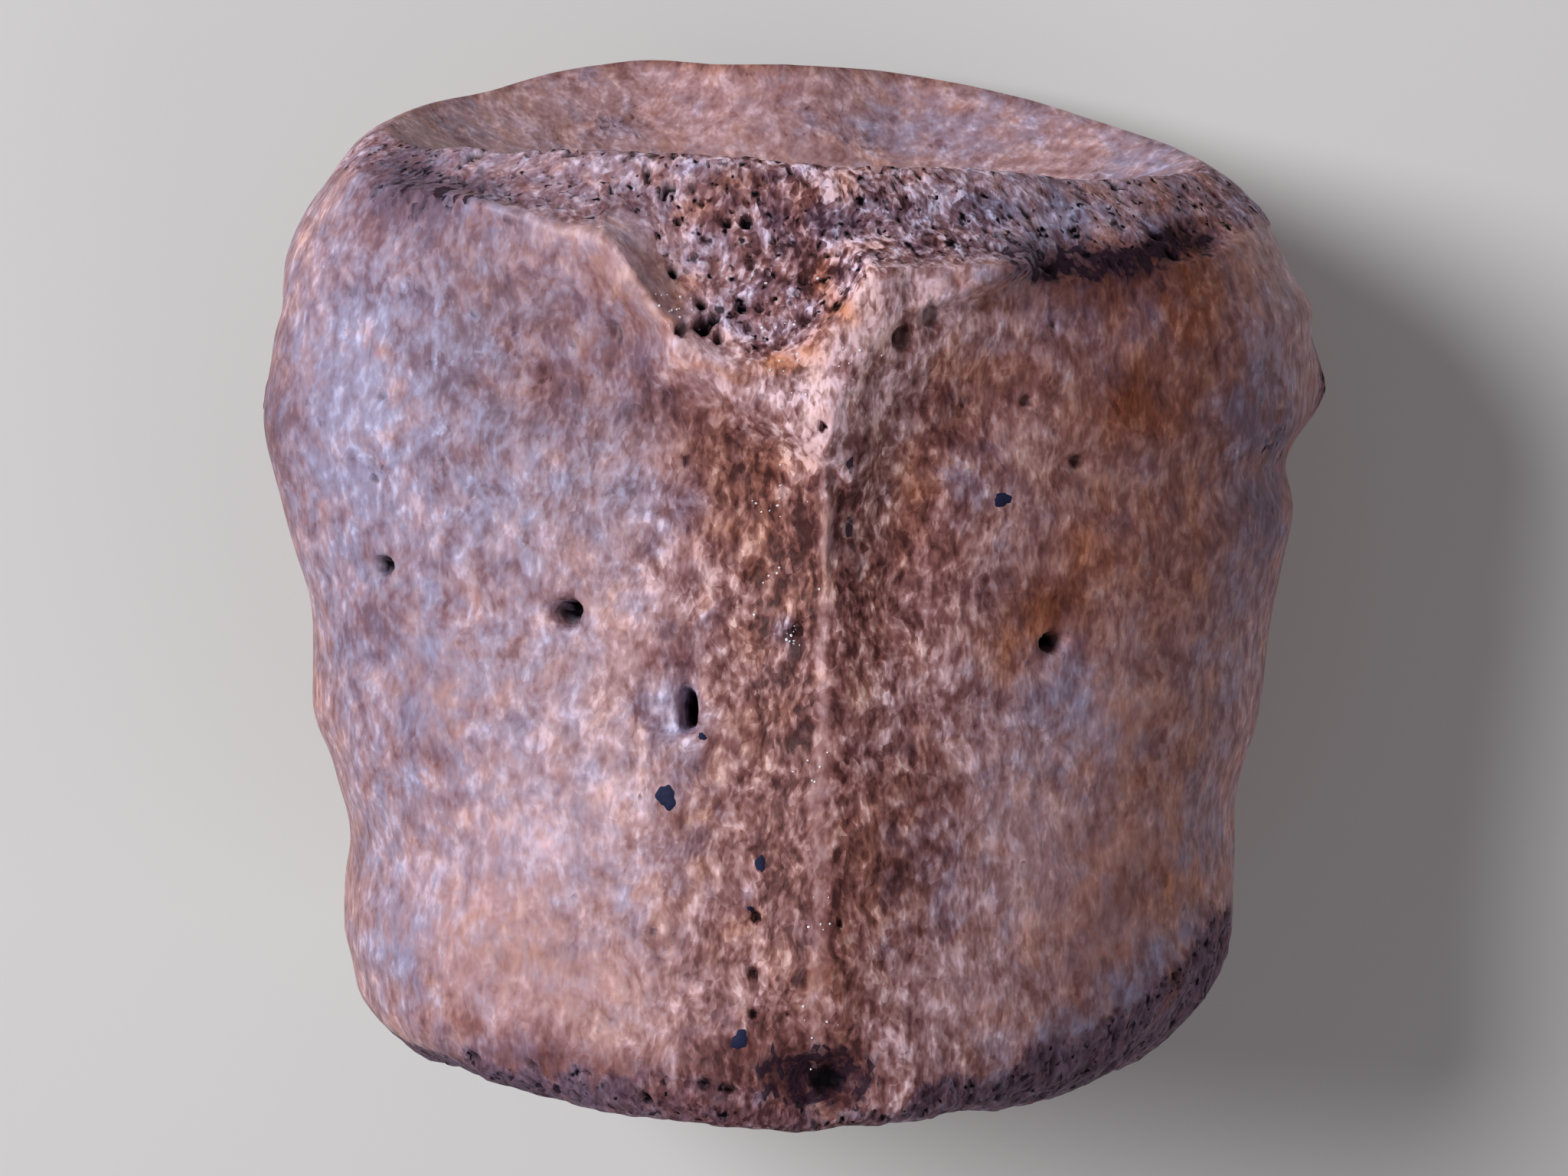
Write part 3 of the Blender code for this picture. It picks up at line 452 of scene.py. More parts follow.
# Clear crystal grains, as the middle of each cluster, its spread and how many it holds
CRYSTAL_CLUSTERS = (
    (-3.4, 8.6, 0.8, 14),
    (-0.6, 8.0, 1.4, 10),
    (0.2, 6.2, 0.9, 5),
    (0.1, -1.9, 0.35, 10),
    (-0.2, 2.6, 1.2, 10),
    (-0.2, 0.2, 1.2, 7),
    (1.3, -6.0, 0.9, 6),
    (1.0, -10.5, 1.2, 6),
    (0.6, -14.0, 1.2, 6),
    (2.0, 7.4, 0.9, 5),
)
CRYSTAL_SEED = 4
CRYSTAL_SIZES = (0.4, 1.0)
CRYSTAL_STRETCH = (0.7, 1.3)
CRYSTAL_STANDS = 0.1

# The photograph's frame and the place of its keel in it
PHOTO_WIDTH = 2048
MM_PER_PIXEL = 0.0240
FRAME_MIDDLE_X = -0.1 * MM
KEEL_PLANE_HEIGHT = 26.5 * MM

# Floor, soft lights as name, place, size, power and colour, and the even light all round
FLOOR_SIZE = 3.0
LIGHTS = (
    ("key", (-0.37, 0.16, 0.40), 0.26, 3.3, (0.95, 0.97, 1.0)),
    ("fill", (0.40, -0.32, 0.42), 0.60, 0.75, (1.0, 0.93, 0.92)),
)
WORLD_COLOUR = (0.90, 0.90, 1.0, 1.0)
WORLD_STRENGTH = 0.16


def linear(hex_colour):
    """Linear red, green and blue of an sRGB hex colour."""
    parts = [int(hex_colour[i : i + 2], 16) / 255.0 for i in (1, 3, 5)]
    return tuple(c / 12.92 if c <= 0.04045 else ((c + 0.055) / 1.055) ** 2.4 for c in parts)


def eased(t):
    t = np.clip(t, 0.0, 1.0)
    return t * t * (3.0 - 2.0 * t)


def rising(value, start, full):
    """0 up to start and 1 from full on, also where full lies below start."""
    return eased((value - start) / (full - start))


def mound(x, y, middle, spread):
    return np.exp(-(((x - middle[0]) / spread[0]) ** 2) - ((y - middle[1]) / spread[1]) ** 2)


def lattice_value(i, j, k, seed):
    """A fixed number from -1 to 1 for each corner of a lattice."""
    mixed = (i * 374761393 + j * 668265263 + k * 2147483647 + seed * 1274126177) & 0xFFFFFFFF
    mixed = ((mixed ^ (mixed >> 13)) * 1103515245 + 12345) & 0xFFFFFFFF
    mixed = ((mixed ^ (mixed >> 16)) * 668265263) & 0xFFFFFFFF
    return (mixed & 0xFFFF) / 32767.5 - 1.0


def bumps(x, y, z, size, seed):
    """Smooth bumps from -1 to 1, about as wide as size."""
    cells = [np.floor(a / size).astype(np.int64) for a in (x, y, z)]
    parts = [eased(a / size - cell) for a, cell in zip((x, y, z), cells)]
    total = np.zeros_like(x)
    for corner in range(8):
        steps = [(corner >> axis) & 1 for axis in range(3)]
        weight = np.ones_like(x)
        for part, step in zip(parts, steps):
            weight = weight * (part if step else 1.0 - part)
        corners = [cell + step for cell, step in zip(cells, steps)]
        total += weight * lattice_value(*corners, seed)
    return total


def heaped(x, y, z, layers):
    """Sum of layers of bumps, each with its height, width and seed."""
    return sum(height * bumps(x, y, z, size, seed) for height, size, seed in layers)


def swayed(x, y, reach, size, seed):
    """Moves x and y about, so that what is drawn there has a wavy edge."""
    flat = np.zeros_like(x)
    return x + reach * bumps(x, y, flat, size, seed), y + reach * bumps(x, y, flat, size, seed + 1)


def bone_cells(x, y, z, size, seed):
    """Distance to the nearest cell of spongy bone, with a fixed number from -1 to 1 for that cell."""
    home = [np.floor(a / size).astype(np.int64) for a in (x, y, z)]
    nearest = np.full_like(x, np.inf)
    value = np.zeros_like(x)
    for step in range(27):
        cell = [h + (step // 3**axis) % 3 - 1 for axis, h in enumerate(home)]
        away = np.zeros_like(x)
        for axis, a in enumerate((x, y, z)):
            middle = (cell[axis] + 0.5 + CELL_WANDER * lattice_value(*cell, seed + axis)) * size
            away += (a - middle) ** 2
        away = np.sqrt(away)
        closer = away < nearest
        value = np.where(closer, lattice_value(*cell, seed + 7), value)
        nearest = np.where(closer, away, nearest)
    return nearest, value


def along(y, back_value, front_value):
    share = (y - BACK_END) / (FRONT_END - BACK_END)
    return back_value + (front_value - back_value) * share


def half_width(y):
    widening = rising(y, WIDEN_FROM, WIDEN_TO)
    width = HALF_WIDTH_BACK + (HALF_WIDTH_FRONT - HALF_WIDTH_BACK) * widening
    past_shoulder = np.maximum(np.maximum(y - FRONT_SHOULDER, BACK_SHOULDER - y), 0.0) / MM
    return width - SHOULDER_FALL * MM * past_shoulder**SHOULDER_POWER


def underside(y):
    middle = 0.5 * (FRONT_END + BACK_END)
    half_length = 0.5 * (FRONT_END - BACK_END)
    sag = UNDERSIDE_SAG * (1.0 - ((y - middle) / half_length) ** 2)
    return UNDERSIDE_HEIGHT - UNDERSIDE_SLOPE * y - sag


def section(y, turn, side):
    """Point of the section at y: turn is 0 at the keel, pi/2 at the widest place and pi on the back."""
    keel_x = along(y, KEEL_X_BACK, KEEL_X_FRONT)
    widest_height = np.where(side < 0, WIDEST_LEFT, WIDEST_RIGHT)
    edge = side * half_width(y) + np.where(side < 0, 0.0, RIGHT_WIDER)
    across_power = np.where(side < 0, LEFT_FLANK[0], RIGHT_FLANK[0])
    up_power = np.where(side < 0, LEFT_FLANK[1], RIGHT_FLANK[1])
    sine = np.abs(np.sin(turn))
    cosine = np.abs(np.cos(turn))
    under = turn <= math.pi / 2
    x_under = keel_x + (edge - keel_x) * sine ** (2.0 / across_power)
    z_under = widest_height + (underside(y) - widest_height) * cosine ** (2.0 / up_power)
    x_back = edge * sine ** (2.0 / BACK_ROUND[0])
    z_back = widest_height - (widest_height - BACK_HEIGHT) * cosine ** (2.0 / BACK_ROUND[1])
    return np.where(under, x_under, x_back), np.where(under, z_under, z_back)


def turn_of_columns(share, side):
    """The columns stand close together at the keel and wider apart on the back."""
    turns = np.linspace(0.0, math.pi, TURNS)
    x, z = section(np.zeros_like(turns), turns, np.full_like(turns, side))
    lengths = np.concatenate([[0.0], np.cumsum(np.hypot(np.diff(x), np.diff(z)))])
    reach = np.interp(share, COLUMN_SHARES, COLUMN_REACH + (lengths[-1],))
    return np.interp(reach, lengths, turns)


def distance_to_path(x, y, path):
    nearest = np.full_like(x, np.inf)
    for (ax, ay), (bx, by) in zip(path, path[1:]):
        dx, dy = bx - ax, by - ay
        share = np.clip(((x - ax) * dx + (y - ay) * dy) / (dx * dx + dy * dy), 0.0, 1.0)
        nearest = np.minimum(nearest, np.hypot(x - ax - share * dx, y - ay - share * dy))
    return nearest


def crest(distance, half_width_of_crest, sharpness):
    return np.exp(-((distance / half_width_of_crest) ** sharpness))


def depth_into_bare_bone(x, y):
    """How far x, y lies past the edge of the spongy bone that wear has laid bare, 0 before it."""
    edge = [mm(*point) for point in zip(BARE_EDGE_X, BARE_EDGE_Y)]
    past = y > np.interp(x, [point[0] for point in edge], [point[1] for point in edge])
    return distance_to_path(x, y, edge) * past


def from_keel(x, y):
    """Distance right of the keel, whose crest wanders a little, as worn bone does."""
    flat = np.zeros_like(x)
    return x - along(y, KEEL_X_BACK, KEEL_X_FRONT) - heaped(flat, y, flat, KEEL_WANDER)


def keel_crest(x, y, sizes):
    """1 on the crest of the keel and 0 beside it."""
    fade = rising(y, BACK_END, BACK_END + KEEL_FADE) * rising(y, FORK[1] + KEEL_PAST_FORK, FORK[1])
    away = from_keel(x, y)
    # The left side of the crest slopes gently and the right side falls steeply
    away = np.where(away < 0, -away / KEEL_LEFT_SLOPE, away)
    return fade * crest(away, sizes.keel_half_width, KEEL_SHARPNESS)


def keel_stand(y, sizes):
    """Height of the keel: full by the fork, and low where it nears the back end."""
    rise = rising(y, KEEL_LOW_BEHIND, KEEL_FULL_BEFORE)
    return sizes.keel_height * (KEEL_LOW_SHARE + (1.0 - KEEL_LOW_SHARE) * rise)


def ridge_crests(x, y, sizes):
    """1 on the crests of the two ridges of the fork. The left one falls away at once outside the fork
    and the right one gently, and between them they make one broad facet."""
    wx, wy = swayed(x, y, *RIDGE_SWAY)
    across = [point[0] for point in RIDGES]
    before = wy > np.interp(wx, across, [point[1] for point in RIDGES])
    between = before & (wx > across[0]) & (wx < across[-1])
    away = distance_to_path(wx, wy, RIDGES)
    wider = RIDGE_OUTER_WIDER * rising(wx, *RIDGE_OUTER_WIDENS)
    outer = (sizes.ridge_half_width + wider, RIDGE_OUTER_SHARPNESS)
    ridges = np.where(between, crest(away, *RIDGE_INNER), crest(away, *outer))
    tail = RIDGE_TAIL_SHARE * crest(distance_to_path(wx, wy, LEFT_RIDGE_TAIL), *outer)
    return np.maximum(ridges, tail)


def roof_rounding(x, y):
    """How far the roof-like edge where the two flanks meet is rounded off below the keel."""
    away = np.abs(x - along(y, KEEL_X_BACK, KEEL_X_FRONT))
    return ROOF_ROUNDING * rising(y, *ROOF_ROUNDED) * crest(away, ROOF_ROUNDING_WIDTH, 1.0)


def underside_relief(x, y, sizes):
    """How far the underside stands above its smooth section at x, y."""
    keel = keel_stand(y, sizes) * keel_crest(x, y, sizes)
    raised = np.maximum(keel, sizes.ridge_height * ridge_crests(x, y, sizes)) - roof_rounding(x, y)
    foot = SIDE_FACET_FOOT + SIDE_FACET_RISE * (x - SIDE_FACET_LEFT[0])
    facet = rising(x, *SIDE_FACET_LEFT) * rising(x, *SIDE_FACET_RIGHT)
    facet = facet * rising(y, foot, foot + SIDE_FACET_FOOT_SLOPE)
    raised = np.maximum(raised, SIDE_FACET_HEIGHT * facet)
    for middle, spread, depth in HOLLOWS:
        raised = raised - depth * mound(x, y, middle, spread)
    bare = 1.0 - np.exp(-depth_into_bare_bone(x, y) / sizes.bare_reach)
    worn = BARE_STEP + BARE_SLOPE * np.maximum(y - BARE_START, 0.0)
    return raised * (1.0 - bare) - worn * bare


def back_relief(x, y):
    """How far the back stands out below its smooth section: arch roots out, canal floor in."""
    roots = np.zeros_like(x)
    for middle, spread, reach in ARCH_ROOTS:
        along_root = np.exp(-np.abs((y - middle[1]) / spread[1]) ** ROOT_END_POWER)
        across_root = np.exp(-np.abs((x - middle[0]) / spread[0]) ** ROOT_SIDE_POWER)
        roots = np.maximum(roots, reach * along_root * across_root)
    canal = CANAL_DEPTH * np.exp(-np.abs((x - CANAL_MIDDLE) / CANAL_HALF_WIDTH) ** ROOT_SIDE_POWER)
    return roots - canal


def ring_layout(ring):
    """For each ring: its share of the way out from the hollow's middle, its turn over the rim
    (0 on the end, pi/2 on the side), its share of the way along the side, and which end it is on."""
    dish_f = RINGS_FRONT_DISH
    rim_f = dish_f + RINGS_FRONT_RIM
    fork = rim_f + RINGS_FORK
    side = fork + RINGS_SIDE
    rim_b = side + RINGS_BACK_RIM
    last = rim_b + RINGS_BACK_DISH
    outward = np.clip(np.minimum(ring / dish_f, (last - ring) / RINGS_BACK_DISH), 0.0, 1.0)
    over_front = np.clip((ring - dish_f) / RINGS_FRONT_RIM, 0.0, 1.0)
    over_back = np.clip((rim_b - ring) / RINGS_BACK_RIM, 0.0, 1.0)
    over = np.minimum(over_front, over_back) * math.pi / 2
    through_fork = np.clip((ring - rim_f) / RINGS_FORK, 0.0, 1.0)
    through_side = np.clip((ring - fork) / RINGS_SIDE, 0.0, 1.0)
    return outward, over, through_fork, through_side, ring > fork


def bone_surface(ring, column_share, side, sizes):
    """Points of the bone for the rings and columns of the sphere, and where they lie on it."""
    turn = np.where(side < 0, turn_of_columns(column_share, -1), turn_of_columns(column_share, 1))
    outward, over, through_fork, through_side, at_back = ring_layout(ring)
    worn_right = np.exp(-(((side * turn - RIM_WORN_AT) / RIM_WORN_SPREAD) ** 2))
    rim = RIM_ROUND + np.where(at_back, RIM_WORN_RIGHT * worn_right, 0.0)
    rim_start = FRONT_END - rim
    station = rim_start + (FORK_ZONE_END - rim_start) * through_fork
    station = station + (BACK_END + rim - FORK_ZONE_END) * through_side
    sign = np.where(at_back, -1.0, 1.0)
    station = station + sign * rim * np.cos(over) * (through_side * at_back + (1 - through_fork) * ~at_back)
    on_cap = outward < 1.0
    shrink = outward * (1.0 - rim / RIM_RADIUS * (1.0 - np.sin(over)))
    x, z = section(station, turn, side)
    x = x * shrink
    z = MIDDLE_HEIGHT + (z - MIDDLE_HEIGHT) * shrink
    dish = np.where(at_back, DISH_BACK, DISH_FRONT) * (1.0 - outward**DISH_POWER)
    y = station - sign * dish * on_cap
    near_end = rising(station, WIDEN_TO, FRONT_END)
    bow = np.where(x < BOW_MIDDLE, END_BOW_LEFT, END_BOW_RIGHT)
    y = y - near_end * bow * ((x - BOW_MIDDLE) / HALF_WIDTH_FRONT) ** 2
    corner = np.exp(-(((x - BACK_CORNER[0]) / BACK_CORNER[1]) ** 2)) * (z > MIDDLE_HEIGHT)
    y = y - BACK_CORNER[2] * corner * rising(station, BACK_CORNER_FROM, BACK_END)
    y = y - (z - LEAN_HEIGHT) * np.tan(along(station, LEAN_BACK, LEAN_FRONT))

    outer = shrink**2
    under_weight = outer * rising(turn, *UNDERSIDE_SHOWS)
    back_weight = outer * rising(turn, *BACK_SHOWS)
    z = z + underside_relief(x, y, sizes) * under_weight
    z = z - back_relief(x, y) * back_weight
    stumps = np.zeros_like(x)
    for stump_side, middle, spread, reach in SIDE_STUMPS:
        stump = mound(y, z, middle, spread) * (side == stump_side) * outer
        stump = stump * rising(turn, *STUMPS_START) * rising(turn, *STUMPS_END)
        x = x + stump_side * reach * stump
        stumps = np.maximum(stumps, stump)
    on_flank = outer * np.sin(turn) ** 2
    for swell_side, middle, spread, reach in FLANK_SWELLS:
        swell = reach * np.exp(-(((y - middle) / spread) ** 2)) * (side == swell_side)
        x = x + swell_side * swell * on_flank

    for number, (size, stand) in enumerate(WEAR):
        swell = stand * bumps(x, y, z, size, WEAR_SEED + number) * outer
        level = 1.0 - under_weight * (1.0 - WEAR_UNDERSIDE)
        x = x + swell * np.sign(x) * np.abs(np.sin(turn)) * level
        z = z + swell * np.cos(turn) * level
        y = y + swell * np.cos(over) * WEAR_ENDS
    places = {"turn": turn, "side": side, "outward": outward, "over": over, "at_back": at_back}
    places.update(under=under_weight, stumps=stumps)
    return np.stack([x, y, np.maximum(z, 0.0)], axis=1), places


def patches(x, y, spots):
    """Strength from 0 to 1 of soft patches of colour with wavy edges."""
    wx, wy = swayed(x, y, *PATCH_SWAY)
    total = np.zeros_like(x)
    for px, py, across, along_bone, strength in spots:
        spot = strength * mound(wx, wy, mm(px, py), mm(across, along_bone))
        total = 1.0 - (1.0 - total) * (1.0 - spot)
    return total


def bare_bone_mask(points, places):
    """1 where wear has taken the smooth outer bone and its spongy inside shows."""
    x, y, z = points.T
    ragged = heaped(x, y, z, BARE_EDGE_BUMPS)
    # The slope inside the left ridge keeps its smooth outer bone
    kept = SMOOTH_SLOPE[0] * rising(x, *SMOOTH_SLOPE[1]) * rising(x, *SMOOTH_SLOPE[2])
    band = rising(depth_into_bare_bone(x, y) + BAND_BUMPS * ragged, kept, kept + BAND_EDGE)
    # It thins out down the wall of the hollow end and towards the back
    band = band * rising(places["under"] + ragged / BAND_UNDER_BUMPS, *BAND_UNDER) * ~places["at_back"]
    turn_right = places["turn"] * places["side"]
    strip = RIM_STRIP
    soft = RIM_STRIP_SOFT
    for turn, spread, wider, softer in RIM_STRIP_WIDER:
        near = np.exp(-(((turn_right - turn) / spread) ** 2))
        strip = strip + wider * near
        soft = soft + softer * near
    from_back = (y + (z - LEAN_HEIGHT) * math.tan(LEAN_BACK)) - BACK_END
    rim = rising(from_back - ragged - strip, 0.0, -soft) * places["at_back"]
    rim = rim * rising(places["outward"] + ragged / RIM_OUTWARD_BUMPS, *RIM_OUTWARD)
    stump = rising(places["stumps"] + ragged / STUMP_BUMPS, *STUMP_BARE)
    roots = rising(z - ROOTS_BUMPS * ragged, *ROOTS_BARE)
    return np.maximum.reduce([band, rim, stump, roots])


def openings(x, y):
    """Depth of the vessel openings at x, y, and how dark their inside is painted, as shade."""
    depth = np.zeros_like(x)
    dark = np.zeros_like(x)
    edge = 1.0 + heaped(x, y, np.zeros_like(x), OPENING_EDGE_BUMPS)
    for px, py, across, along_bone, deep in FORAMINA:
        away = np.hypot((x - px * MM) / (across * MM), (y - py * MM) / (along_bone * MM)) / edge
        depth = np.maximum(depth, deep * MM * rising(away, *OPENING_WALL))
        dark = np.maximum(dark, min(deep / FULLY_DARK_DEPTH, 1.0) * rising(away, *OPENING_SHADE))
    return depth, dark


def large_pores(x, y, z, spacing):
    """1 in the large pores of spongy bone and 0 between them."""
    pore = np.zeros_like(x)
    for share, closed_below, seed in LARGE_PORES:
        size = share * spacing
        away, value = bone_cells(x, y, z, size, seed)
        radius = size * (PORE_RADIUS + PORE_RADIUS_VARIES * value) * (value > closed_below)
        pore = np.maximum(pore, rising(away, radius, radius - PORE_WALL))
    return pore


def fine_relief(points, places, bare, sizes):
    """How far each point moves along its normal, and how deep it lies in a pore, opening or pit, 0 to 1,
    which the colour paints dark as shade.
    """
    x, y, z = points.T
    pore = large_pores(x, y, z, sizes.pore_spacing) * bare
    depth, dark = openings(x, y)
    shown = places["under"] > UNDERSIDE_FROM
    away = np.hypot(*[(a - m) / s for a, m, s in zip((x, y), *OVAL_HOLLOW[:2])])
    depth = depth + OVAL_HOLLOW[2] * rising(away, *OVAL_HOLLOW_WALL)
    pit = mound(x, y, *KEEL_END_PIT[:2])
    depth = depth + KEEL_END_PIT[2] * pit
    dark = np.maximum(dark, rising(pit + heaped(x, y, z, PIT_EDGE_BUMPS), *PIT_SHADE))
    start, end = GROOVE_Y
    within = rising(y, start, start + GROOVE_FADE) * rising(y, end, end - GROOVE_FADE)
    groove = crest(np.abs(x - GROOVE_X), GROOVE_HALF_WIDTH, GROOVE_SHARPNESS)
    depth = depth + GROOVE_DEPTH * within * groove
    edges = np.maximum(keel_crest(x, y, sizes), ridge_crests(x, y, sizes)) * shown
    dense = heaped(x, y, z, DENSE_SWELLS) + heaped(x, y, z, CREST_ROUGHNESS) * edges
    offset = heaped(x, y, z, SPONGY_LUMPS) * bare + dense * (1.0 - bare)
    return offset - sizes.pore_depth * pore - depth * shown, np.maximum(pore, dark * shown)


def rubbed_line(x, y, z, away):
    """1 on the pale line that wear has rubbed along the crest of the keel."""
    flat = np.zeros_like(x)
    half_width_here = RUBBED_HALF_WIDTH + RUBBED_WIDER * rising(y, *RUBBED_WIDENS)
    half_width_here = half_width_here + heaped(flat, y, flat, RUBBED_EDGE_BUMPS)
    line = crest(np.abs(away), half_width_here, RUBBED_SHARPNESS) * rising(y, *RUBBED_END)
    return line * (RUBBED_LEVEL + heaped(x, y, z, RUBBED_GRAIN))


def keel_stain(y, away):
    """1 beside the keel, where its sides are stained dark."""
    right = KEEL_STAIN_RIGHT + KEEL_STAIN_RIGHT_BEHIND * rising(y, *KEEL_STAIN_DEEPENS)
    stain = np.where(away < 0, 1.0, right) * rising(y, *KEEL_STAIN_END)
    return stain * crest(np.abs(away), KEEL_STAIN_HALF_WIDTH, 2.0)


def strengthen(fields, name, values):
    """Keeps the stronger of a field and the values."""
    fields[name] = np.maximum(fields[name], values)


def colour_fields(points, places, bare, sizes):
    """Soft fields that the bone's finish reads, each from 0 to 1."""
    x, y, z = points.T
    shown = places["under"]
    away = from_keel(x, y)
    fields = {name: patches(x, y, spots) * shown for name, spots in PATCHES.items()}
    for number, name in enumerate(RANDOM_STAINS):
        cloud = bumps(x, y, z, RANDOM_STAIN_SIZE, RANDOM_STAIN_SEED + number)
        cloud = eased(RANDOM_STAIN_LEVEL + RANDOM_STAIN_SWING * cloud)
        strengthen(fields, name, RANDOM_STAIN_STRENGTH * cloud * (1.0 - shown))

    # The keel's sides are stained and its crest is rubbed pale, as the ridges are
    line = rubbed_line(x, y, z, away)
    strengthen(fields, "umber", keel_stain(y, away) * (1.0 - line) * shown)
    rubbed = np.maximum(RUBBED_PALE * line, ridge_crests(x, y, sizes))
    strengthen(fields, "pale", rubbed * shown * (1.0 - bare))
    grain = GRAIN_BACK_LEVEL + (1.0 - GRAIN_BACK_LEVEL) * rising(y, *GRAIN_STRENGTHENS)
    grain = grain * crest(np.abs(away), GRAIN_HALF_WIDTH, 2.0) * shown
    fields["near keel"] = grain * (1.0 - GRAIN_LOST_ON_CREST * line)

    # The wall of the far hollow is paler and cleaner
    far_wall = (places["outward"] < 1.0) & ~places["at_back"]
    strengthen(fields, "pale", FAR_WALL_PALE * far_wall)
    for name in ("rust", "ochre"):
        fields[name] = fields[name] * (1.0 - FAR_WALL_UNSTAINED * far_wall)

    # The worn back rim is darkest on its edge, where the dark is partly painted shade, and paler where it
    # runs into the hollow
    purple = sum(strength * rising(x, *reach) for strength, reach in RIM_LAVENDER)
    strengthen(fields, "lavender", (BARE_LAVENDER + purple * places["at_back"]) * bare)
    edge = RIM_INNER_LEVEL + (1.0 - RIM_INNER_LEVEL) * rising(places["over"], *RIM_EDGE)
    edge = edge * bare * places["at_back"]
    strengthen(fields, "umber", RIM_UMBER_AND_SHADE * edge)
    strengthen(fields, "grime_and_shade", RIM_GRIME_AND_SHADE * edge)
    # Broken ends of the side processes are dark: eroded, and partly painted shade
    strengthen(fields, "grime_and_shade", STUMP_GRIME_AND_SHADE * rising(places["stumps"], *STUMP_DARKENS))
    return fields


def add_node(tree, kind, inputs=None, **settings):
    """Adds a shader node of a kind, sets it and links or sets its inputs."""
    node = tree.nodes.new("ShaderNode" + kind)
    for name, value in settings.items():
        setattr(node, name, value)
    for name, value in (inputs or {}).items():
        if isinstance(value, bpy.types.NodeSocket):
            tree.links.new(value, node.inputs[name])
        else:
            node.inputs[name].default_value = value
    return node


def make_material(name, finish, colours):
    """A material with the shader inputs that its finish works out."""
    material = bpy.data.materials.new(name)
    material.use_nodes = True
    tree = material.node_tree
    tree.nodes.clear()
    shader = add_node(tree, "BsdfPrincipled", finish(tree, colours))
    add_node(tree, "OutputMaterial", {"Surface": shader.outputs[0]})
    return material


def place_in_mm(tree):
    place = add_node(tree, "TexCoord").outputs["Object"]
    return add_node(tree, "VectorMath", {0: place, "Scale": 1.0 / MM}, operation="SCALE").outputs[0]


def swayed_place(tree, place, waves, reach):
    """The place moved about by soft noise, with its waves per mm and its reach in mm."""
    noise = add_node(tree, "TexNoise", {"Vector": place, "Scale": waves, "Detail": 1.0}).outputs["Color"]
    inputs = {0: noise, 1: (reach, reach, reach), 2: place}
    return add_node(tree, "VectorMath", inputs, operation="MULTIPLY_ADD").outputs[0]


# Sways, as waves per mm and reach in mm: the grain follows the bone's length and sways a little over
# about 2 mm, and the fine pores are of uneven shape
GRAIN_SWAY = (0.5, 0.6)
PORE_SWAY = (3.2, 0.55)

# Noises of the bone's finish: scale across and along the bone per mm, detail and roughness
NOISES = {
    "patch": ((0.66, 0.54, 0.66), 3.0, 0.6),
    "bloom": ((1.10, 0.90, 1.10), 4.0, 0.6),
    "cloud": ((0.85, 0.60, 0.85), 4.0, 0.6),
    "mottle": ((1.7, 1.15, 1.7), 2.0, 0.6),
    "speck": ((4.4, 2.2, 4.4), 1.0, 0.5),
}

# Grains of the bone: cells per mm across and along it
CELLS = {"grain": (3.8, 2.4, 3.8), "fine grain": (6.5, 3.8, 6.5)}

# Tones of the bone from its darkest to its palest, as shares of the way and colours
TONES = {
    "warm": ((0.0, "darkest"), (0.25, "umber"), (0.5, "brown"), (0.75, "tan"), (1.0, "cream")),
    "lilac": ((0.0, "lilac_dark"), (0.5, "lilac_brown"), (0.8, "lilac"), (1.0, "lilac_pale")),
    "ochre": ((0.0, "darkest"), (0.5, "ochre_brown"), (0.75, "ochre"), (1.0, "ochre_pale")),
    "rust": ((0.0, "rust_dark"), (0.5, "rust"), (1.0, "rust_pale")),
}

# Sums of fields and noises: where each starts, and the weight of each part
SUMS = {
    "tone": (0.69, (("ochre", -0.20), ("umber", -0.43), ("rust", -0.06), ("pale", 0.20), ("bare", -0.05))),
    "broad swing": (-0.85, (("patch", 0.50), ("mottle", 1.20))),
    "broad reach": (0.72, (("near keel", 1.00), ("bare", 0.15), ("pale", -0.40))),
    "fine swing": (-0.75, (("speck", 0.70), ("grain", 0.45), ("fine grain", 0.35))),
    "fine reach": (0.36, (("near keel", 0.90), ("bare", 0.35), ("pale", -0.30))),
    "ochre": (0.0, (("cloud", 1.0), ("ochre", 0.30))),
    "lilac": (0.0, (("bloom", 1.0), ("lavender", 0.50), ("near keel", -0.12))),
    "rust": (0.0, (("patch", 1.0), ("rust", 0.42))),
    "film_and_shade": (0.0, (("grime_and_shade", 1.08), ("mottle", 1.8), ("grain", 0.8))),
}

# Sums at which each stain and the dark film, which also paints shade, start and are full, and how much they
# then hide
STAINS = {
    "ochre": (0.50, 0.86, 1.0),
    "lilac": (0.52, 0.98, 1.0),
    "rust": (0.58, 0.92, 1.0),
    "film_and_shade": (1.80, 2.25, 0.96),
}

# Pores too fine for the mesh, painted dark as shade: cells per mm and radius as a share of a cell, with
# their soft edge and the range of the cells' own values over which they appear
FINE_PORES = ((1.5, 0.27), (2.8, 0.29))
FINE_PORE_EDGE = (1.25, 0.6)
POROUS_CELLS = (0.40, 0.65)

# Roughness over the mottle, from satin to duller, and shine over the tone, from dark to pale
SATIN = {"From Min": 0.3, "From Max": 0.7, "To Min": 0.42, "To Max": 0.60}
SHINE = {"From Min": 0.25, "From Max": 0.80, "To Min": 0.08, "To Max": 0.40}
SPONGY_ROUGHER = 0.16
SPONGY_DULLNESS = 0.6
DULLEST_SHINE = 0.02

# Fine relief of the finish
PORES_SINK = -0.8
GRAIN_BUMP = {"Strength": 0.55, "Distance": 0.14 * MM}
MOTTLE_BUMP = {"Strength": 0.4, "Distance": 0.20 * MM}
EARTHY_BUMP = {"Strength": 0.4, "Distance": 0.10 * MM}


